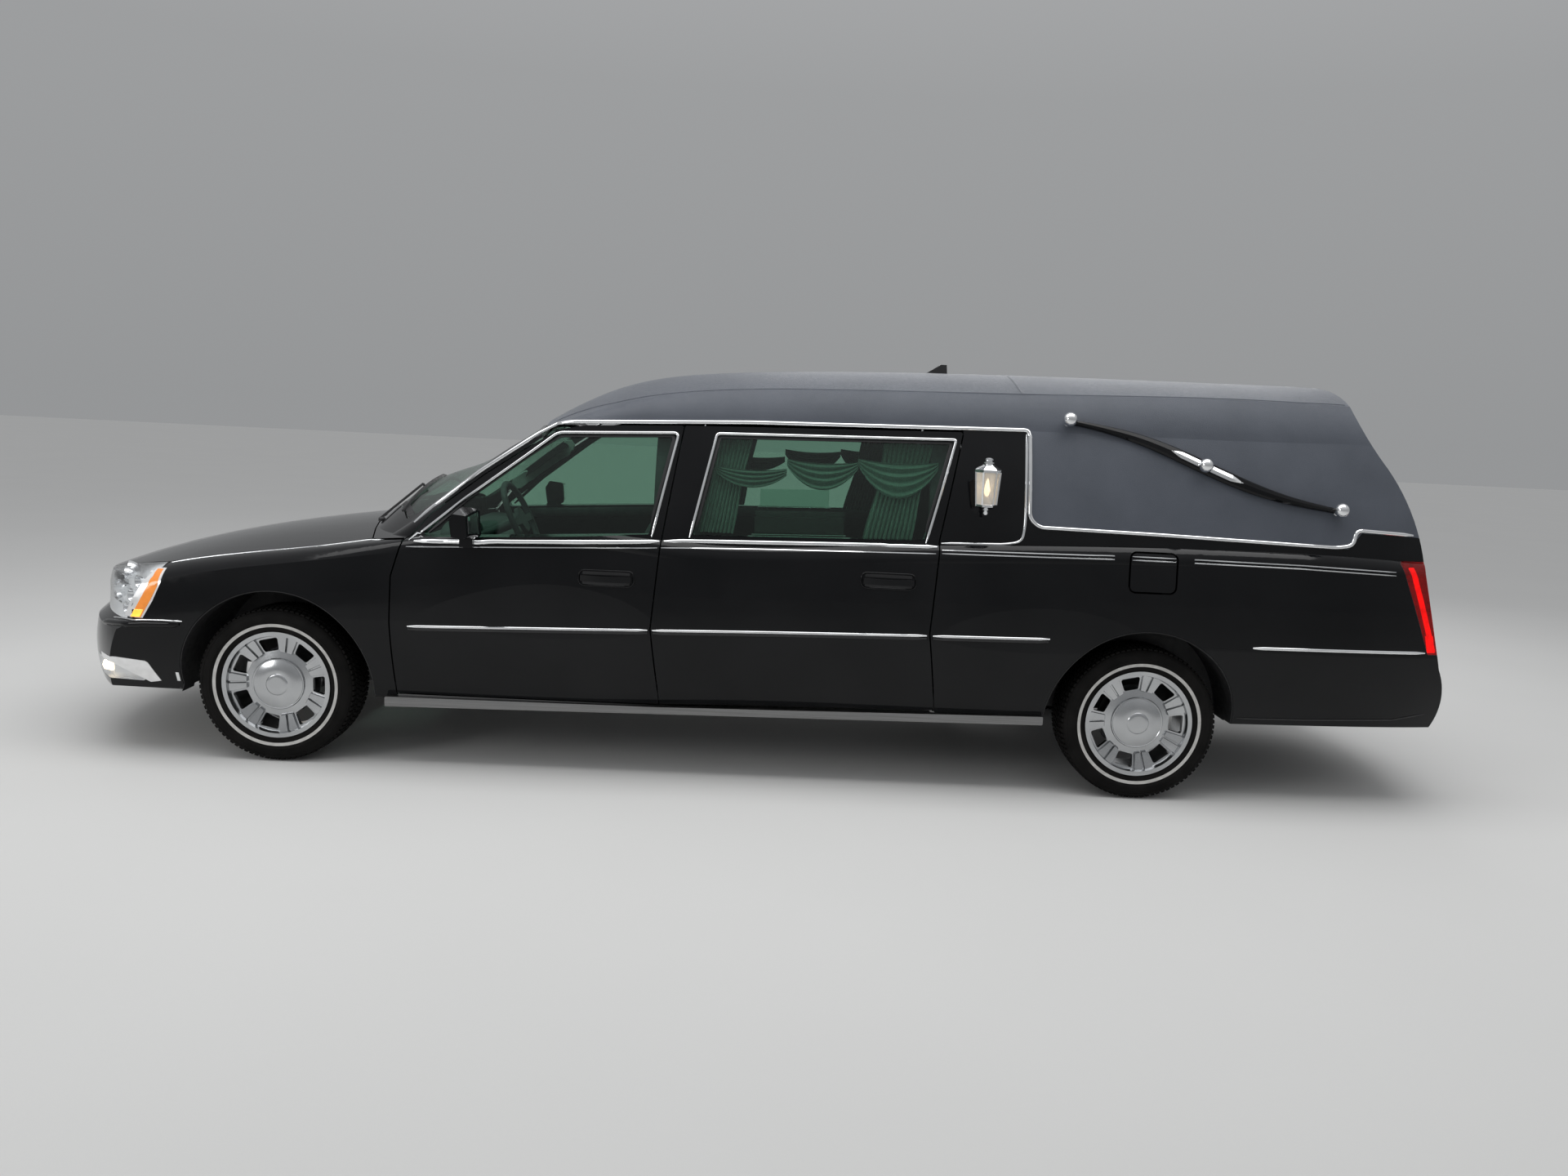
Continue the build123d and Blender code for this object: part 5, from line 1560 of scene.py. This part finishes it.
# %% Plates that follow the body
def along_edge(edge, t):
    """Point at a share t of the way along a polyline."""
    points = [Vector(p) for p in edge]
    spans = [(b - a).length for a, b in zip(points, points[1:])]
    left = t * sum(spans)
    for a, b, span in zip(points, points[1:], spans):
        if left <= span:
            return a + (b - a) * (left / span)
        left -= span
    return points[-1]


def laid_patch(caster, edge, opposite, rows, columns, lift, bevel=0.0015, sink=0.001):
    """Closed plate over a surface between two edges of plan, side or end coordinates."""
    grid = []
    for k in range(rows + 1):
        for i in range(columns + 1):
            here = along_edge(edge, i / columns).lerp(along_edge(opposite, i / columns), k / rows)
            grid.append((*caster(*here), k in (0, rows) or i in (0, columns)))
    corners = [place - normal * sink for place, normal, _ in grid]
    corners += [place + normal * (lift - (bevel if rim else 0.0)) for place, normal, rim in grid]
    count, wide, faces = len(grid), columns + 1, []
    for a in (k * wide + i for k in range(rows) for i in range(columns)):
        faces += [(a, a + wide, a + wide + 1, a + 1),
                  (count + a, count + a + 1, count + a + wide + 1, count + a + wide)]
    rim = list(range(wide)) + [k * wide + columns for k in range(1, rows + 1)]
    rim += [rows * wide + i for i in range(columns - 1, -1, -1)]
    rim += [k * wide for k in range(rows - 1, 0, -1)]
    return corners, faces + [(a, b, count + b, count + a) for a, b in zip(rim, rim[1:] + rim[:1])]


def level_patch(caster, across, heights, lift, bevel, sink=0.002, rows=3, columns=10):
    """Plate between two across positions and two heights."""
    low, high = (tuple((a, height) for a in across) for height in heights)
    return laid_patch(caster, low, high, rows, columns, lift, bevel, sink)


print("halfway along an edge:", tuple(along_edge(((0, 0), (10, 0)), 0.5)))

# %% [markdown]
# The tail door has a pull handle, a long red lamp above the glass and a bright frame round the
# glass. The bumper below it has a rubber step pad and two reflectors.

# %% Tail glass frame
def on_tail_door(y, z):
    """Cast on the tail door from behind."""
    return tail_cast(("tail_door",), y, z)


FRAME_MIDDLE, FRAME_MARGIN = Vector((0, 1375)), 14
glass_corners = [Vector(c) for c in ((-520, 1190), (-440, 1560), (440, 1560), (520, 1190))]
frame_path = [c + (c - FRAME_MIDDLE).normalized() * FRAME_MARGIN for c in glass_corners]
tail_frame = laid_strip(rounded(frame_path, 26, closed=True), bead(0.016, 0.007), on_tail_door,
                        closed=True)
make_piece("tail_glass_frame", *tail_frame, chrome, "tail_door", "chrome")
print("tail frame faces:", len(tail_frame[1]))

# %% Tail door fittings
def on_rear_bumper(y, z):
    """Cast on the rear bumper from behind."""
    return tail_cast(("rear_bumper",), y, z)


for name, across, heights, depth, bevel, finish, slot, caster, body in (
        ("high_stop_lamp", (-330, 330), (1600, 1626), 0.010, 0.004, stop_red, "red_lens",
         on_tail_door, "tail_door"),
        ("tail_handle_bar", (-190, 190), (1010, 1062), 0.020, 0.008, chrome, "chrome",
         on_tail_door, "tail_door"),
        # The dark plate under the handle bar is painted shade: the shadow in the handle's recess.
        ("tail_handle_recess", (-150, 150), (985, 1006), 0.006, 0.002, dark_plastic, "dark_plastic",
         on_tail_door, "tail_door"),
        ("step_pad", (-560, 560), (648, 690), 0.007, 0.003, dark_plastic, "dark_plastic",
         on_rear_bumper, "root"),
        # The reflectors have no bulb, so their faint red glow is painted light.
        ("reflector_left", (-600, -480), (470, 500), 0.006, 0.003, stop_red, "red_lens",
         on_rear_bumper, "root"),
        ("reflector_right", (480, 600), (470, 500), 0.006, 0.003, stop_red, "red_lens",
         on_rear_bumper, "root")):
    fitting = level_patch(caster, across, heights, depth, bevel)
    make_piece(name, *fitting, finish, body, slot)
    print(name, "faces:", len(fitting[1]))

# %% [markdown]
# The exhaust leaves the car as one bent pipe. Its path is a smooth curve through four
# points, and a circle is carried along it.

# %% Exhaust tail
def curve_through(points, parts=10):
    """Smooth path through points."""
    path = []
    points = [Vector(p) for p in points]
    for k in range(len(points) - 1):
        before = points[k - 1] if k else points[k]
        after = points[k + 2] if k + 2 < len(points) else points[k + 1]
        reach = (points[k + 1] - points[k]).length / 3
        first = points[k] + (points[k + 1] - before).normalized() * reach
        second = points[k + 1] - (after - points[k]).normalized() * reach
        path += interpolate_bezier(points[k], first, second, points[k + 1], parts)[:-1]
    return path + [points[-1]]


def pipe(path, radius, steps=20):
    """Round pipe along a path, closed at both ends."""
    corners = []
    for index, place in enumerate(path):
        ahead = path[min(index + 1, len(path) - 1)] - path[max(index - 1, 0)]
        side = ahead.cross(Vector((0, 0, 1))).normalized()
        up = side.cross(ahead).normalized()
        corners += [place + side * (radius * cos(2 * pi * k / steps))
                    + up * (radius * sin(2 * pi * k / steps))
                    for k in range(steps)]
    return corners, capped_rings(len(path), steps)


tail_path = curve_through(((0.712, 0.120, 0.262), (0.80, 0.34, 0.240), (1.00, 0.58, 0.225),
                           (1.18, 0.60, 0.215)))
tail_pipe = pipe(tail_path, 0.027)
make_piece("exhaust_tail", *tail_pipe, bare_steel, "root", "steel")
print("pipe faces:", len(tail_pipe[1]))

# %% [markdown]
# The fog lamp reaches back along the bumper's corner as a bright surround, and a large
# bulb shows behind its lens.

# %% Fog lamp surround and bulb
fog_side = laid_patch(lambda x, z: side_cast(("front_bumper", "fog_lamps"), x, z),
                      ((-800, 434), (-690, 434), (-556, 420), (-512, 329)),
                      ((-800, 413), (-712, 409), (-640, 366), (-560, 320)), 3, 22, 0.004)
side_pair("fog_surround", *fog_side, lamp_silver, "root", "chrome")
fog_bulb = lathe(((0.004, -0.03), (0.030, -0.018), (0.036, 0.0), (0.030, 0.018), (0.004, 0.03)), 24,
                 (FRONT_AXLE - 0.745, -0.828, 0.385))
side_pair("fog_bulb", *fog_bulb, lamp_glow, "root", "lamp_lens")
print("fog surround faces:", len(fog_side[1]))

# %% [markdown]
# The lens of the front lamp sweeps back over the corner of the fender. A bright plate
# continues it there, and the amber side light lies on that plate, lit at its foot. A
# small bright marker sits low on the bumper.

# %% Lamp corner, side light and marker
def on_corner(x, z):
    """Cast on the front corner that steps over the narrow gap round the lamp."""
    tries = (side_cast(NOSE + ("front_lamps",), x + move, z) for move in (0, 4, -4, 8))
    return next(met for met in tries if met)


for name, edge, opposite, lift, finish, slot in (
        ("lamp_corner", ((-652, 616), (-600, 690), (-556, 770), (-520, 822)),
         ((-549, 616), (-508, 690), (-476, 770), (-474, 826)), 0.003, lamp_silver, "chrome"),
        ("side_light", ((-600, 618), (-563, 690), (-531, 755), (-512, 818)),
         ((-557, 618), (-518, 690), (-489, 755), (-484, 820)), 0.0055, amber_lens, "lamp_lens"),
        ("side_light_foot", ((-598, 620), (-583, 652)), ((-560, 620), (-544, 652)), 0.0070,
         amber_foot,
         "lamp_lens"),
        ("front_marker", ((-440, 332), (-440, 374)), ((-426, 332), (-426, 374)), 0.004,
         chrome, "chrome")):
    made = laid_patch(on_corner, edge, opposite, 4, 16, lift, 0.0012)
    side_pair(name, *made, finish, "root", slot)
    print(name, "faces:", len(made[1]))

# %% [markdown]
# The tail lamp is a red skin over a bright bowl, with a strip of light that runs up its
# rear edge and is strongest at the foot. The strips lie just inside the skin.

# %% Tail lamps
tail_lens, tail_bowl = patches("tail_lamps", 2.85, 0.85, end=1)
lens_pair("tail_lens", tail_lens, red_clear, "red_lens", (2.7, -0.5, 0.9), "tail_lamps")
bowl_pair("tail_bowl", tail_bowl, tail_silver, (2.7, -0.4, 0.9))
for name, edge, width, rows, inside, inner in (
        ("tail_light_strip", ((4998, 722), (4872, 1084)), 22, 22, 0.0055, 0.012),
        ("tail_light_foot", ((4984, 716), (4966, 790)), 34, 8, 0.0045, 0.009)):
    opposite = [(x + width, z) for x, z in edge]
    light = laid_patch(lambda x, z: side_cast(("tail_lamps",), x, z), edge, opposite, 2, rows,
                       -inside, 0.0, inner)
    side_pair(name, *light, red_lens, "root", "red_lens")
    print(name, "faces:", len(light[1]))

# %% [markdown]
# The cut edge of a wheel arch would catch the pale floor as a bright crescent. On the
# real car a dark rolled lip and a plastic liner cover it, so a dark band follows each
# arch just inside its edge.

# %% Arch lips
ARCH_RADIUS, LIP_REACH, LIP_THICKNESS, ARCH_STEPS = 0.4185, 0.10, 0.003, 48
BEHIND_ARCH = -0.88


def arch_lip(centre, names, start, stop):
    """Dark band inside an arch, from start to stop degrees round the wheel centre."""
    corners, hub = [], Vector((centre, AXLE_HEIGHT))
    for k in range(ARCH_STEPS + 1):
        turn = radians(start + (stop - start) * k / ARCH_STEPS)
        outside = Vector((cos(turn), sin(turn)))
        probe = hub + outside * (ARCH_RADIUS + 0.010)
        met = cast(names, (probe.x, -CAST_FROM, probe.y), (0, 1, 0))
        edge = met[0].y + 0.002 if met and met[0].y < -0.6 else BEHIND_ARCH
        for y, inset in ((edge, 0.0), (edge + LIP_REACH, 0.0), (edge + LIP_REACH, LIP_THICKNESS),
                         (edge, LIP_THICKNESS)):
            point = hub + outside * (ARCH_RADIUS - inset)
            corners.append(Vector((point.x, y, point.y)))
    return corners, capped_rings(ARCH_STEPS + 1, 4)


for name, centre, names, start, stop in (
        ("front_arch_lip", FRONT_AXLE, ("front_fenders", "front_bumper"), -4, 187),
        ("rear_arch_lip", REAR_AXLE, ("rear_quarters", "rear_bumper"), 1.4, 178)):
    lip = arch_lip(centre, names, start, stop)
    side_pair(name, *lip, dark_plastic, "root", "dark_plastic")
    print(name, "faces:", len(lip[1]))

splash = prism([(-2.524, -0.850), (-2.517, -0.850), (-2.517, -0.480), (-2.524, -0.480)],
               0.292, 0.346, 0.001)
side_pair("front_splash_guard", *splash, dark_plastic, "root", "dark_plastic")

# %% [markdown]
# Each door has a bowed pull over a dished pocket. The pocket's rim is a rounded ring, and
# the dark plates above and below the pull are painted shade, darker than the paint.

# %% Handle pockets
for name, body, middle, height in (("front_pocket", FRONT_DOOR, 1424, 881),
                                   ("rear_pocket", REAR_DOOR, 2624, 924)):
    under = (body.format("left"),)
    ring = [(middle + u * 116, height + v * 32) for u, v in ((-1, -1), (1, -1), (1, 1), (-1, 1))]
    strip(f"{name}_rim", ring, bead(0.009, 0.004), black_paint, body, under, "black_paint", 28, 12,
          closed=True)
    # The upper and lower plates are painted shade in the pocket round the pull.
    for label, top, foot in (("upper", 29, 14), ("lower", -14, -29)):
        plate = level_patch(lambda x, z: side_cast(under, x, z), (middle - 100, middle + 100),
                            (height + top, height + foot), 0.0015, 0.0005, 0.001, 2, 12)
        side_pair(f"{name}_{label}", *plate, dark_plastic, body, "dark_plastic")
    print(name, "at height", height, "mm")

# %% [markdown]
# A clear plate stands on a bright foot inside each rear side window. Both plates are
# left blank.

# %% Clear plates in the rear windows
name_plate_clear = clear_finish("name_plate_clear", (0.80, 0.90, 0.86))


def stood_up(outline, depth, bevel, y):
    """Block whose outline is drawn in the side view, its outer face at y."""
    corners, faces = prism(outline, -depth, 0.0, bevel)
    return [Vector((c.x, y + c.z, c.y)) for c in corners], faces


clear_plate = stood_up([(-0.045, 1.082), (0.345, 1.094), (0.345, 1.196), (-0.045, 1.184)],
                       0.006, 0.001, -0.772)
plate_foot = stood_up([(-0.055, 1.070), (0.355, 1.082), (0.355, 1.094), (-0.055, 1.082)],
                      0.026, 0.002, -0.762)
side_pair("clear_plate", *clear_plate, name_plate_clear, REAR_DOOR, "window_glass")
side_pair("clear_plate_foot", *plate_foot, chrome, REAR_DOOR, "chrome")
print("clear plates:", len(SIDES))

# %% [markdown]
# Inside, pale trim covers the windscreen pillars, and the door tops have a padded roll.
# These are cast outwards from the middle of the car, onto the inner side of the panels.

# %% Pillar trim and door rolls
pale_trim = new_finish("pale_trim", (0.30, 0.33, 0.32), 0.7)
spread(pale_trim, "Base Color", noise(30.0, 4.0), (0.26, 0.29, 0.28), (0.34, 0.37, 0.36))
PILLAR_LINE = ((668, 1140), (760, 1212), (860, 1290), (960, 1366), (1004, 1398))
for name, node, body, start_y, points, step, passes, profile, finish in (
        ("pillar_trim", "windscreen_frame", "root", -0.30, PILLAR_LINE, 25, 8,
         moulding(0.070, 0.008, 0.004), pale_trim),
        ("front_door_roll", "front_door_left", FRONT_DOOR, -0.50, ((700, 985), (1560, 1030)), 40, 6,
         bead(0.055, 0.016), cabin_trim),
        ("rear_door_roll", "rear_door_left", REAR_DOOR, -0.50, ((1760, 1040), (2760, 1068)), 40, 6,
         bead(0.055, 0.016), cabin_trim)):
    casts = [cast((node,), (FRONT_AXLE + x * MM, start_y, z * MM), (0, -1, 0))
             for x, z in divided(points, step)]
    stations = steady([met for met in casts if met], passes)
    side_pair(name, *sweep(stations, profile), finish, body, "cabin_trim")
    print(name, "stations:", len(stations))

# %% [markdown]
# The steering wheel stands before a hooded instrument cluster, and the mirror glass
# faces rearwards.

# %% Cluster hood and mirror glass
HOOD_STEPS = 14
hood_shape = [Vector((FRONT_AXLE + 0.610 + ahead, -0.390 - 0.165 * cos(pi * k / HOOD_STEPS),
                      0.980 + 0.060 * sin(pi * k / HOOD_STEPS)))
              for ahead in (-0.001, 0.115) for k in range(HOOD_STEPS + 1)]
make_piece("cluster_hood", hood_shape, capped_rings(2, HOOD_STEPS + 1), cabin_trim, "root",
           "cabin_trim")


def on_mirror(y, z):
    """Cast on the rear face of the left mirror."""
    return cast(("front_door_left",), (FRONT_AXLE + 1.0, y * MM, z * MM), (-1, 0, 0))


glass = laid_patch(on_mirror, ((-990, 1050), (-1106, 1062)), ((-990, 1142), (-1106, 1130)), 4, 8,
                   0.003)
side_pair("mirror_glass", *glass, chrome, FRONT_DOOR, "chrome")
print("mirror glass at x", round(max(c.x for c in glass[0]), 3))

# %% [markdown]
# The deck carries rollers, so the load slides in from the rear, and a bright rail along
# each side. The rollers are one turned shape repeated by the tree.

# %% Deck rollers and rails
DECK = 0.7005
ROLLER = ((-0.060, 0.004), (-0.060, 0.015), (-0.054, 0.019), (0.054, 0.019), (0.060, 0.015),
          (0.060, 0.004))
for side, sign in SIDES:
    roller = placed(ring_of(ROLLER, 20), (0.10, sign * -0.22, DECK + 0.020))
    row = repeated(*roller, 9, bare_steel, step=(0.30, 0, 0))
    make_piece(f"deck_rollers_{side}", *row, bare_steel, "root", "steel")
rail = prism([(-0.02, -0.385), (2.52, -0.385), (2.52, -0.365), (-0.02, -0.365)], DECK,
             DECK + 0.012, 0.004)
side_pair("deck_rail", *rail, chrome, "root", "chrome")
centre_line = prism([(-0.30, -0.012), (2.58, -0.012), (2.58, 0.012), (-0.30, 0.012)], DECK,
                    DECK + 0.004, 0.001)
make_piece("deck_centre_line", *centre_line, chrome, "root", "chrome")
print("roller faces:", len(row[1]))

# %% [markdown]
# The number plate on the tail door is blank. It has a raised border and sits in a thin
# dark frame.

# %% Blank number plate
PLATE_FOOT, PLATE_TOP = 846, 996
plate_white = new_finish("plate_white", (0.62, 0.62, 0.60), 0.4)
spread(plate_white, "Base Color", noise(20.0), (0.58, 0.58, 0.56), (0.66, 0.66, 0.64))
for label, half, grow, lift, finish, slot in (
        ("frame", 162, 8, 0.005, dark_plastic, "dark_plastic"),
        ("blank", 152, 0, 0.008, plate_white, "wheel_metal")):
    plate = level_patch(on_tail_door, (-half, half), (PLATE_FOOT - grow, PLATE_TOP + grow), lift,
                        0.002, rows=4, columns=12)
    make_piece(f"rear_plate_{label}", *plate, finish, "tail_door", slot)
print("plate faces:", len(plate[1]))

# %% Finish
visual_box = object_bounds()
print("visual box:", [[round(v, 4) for v in corner] for corner in visual_box])
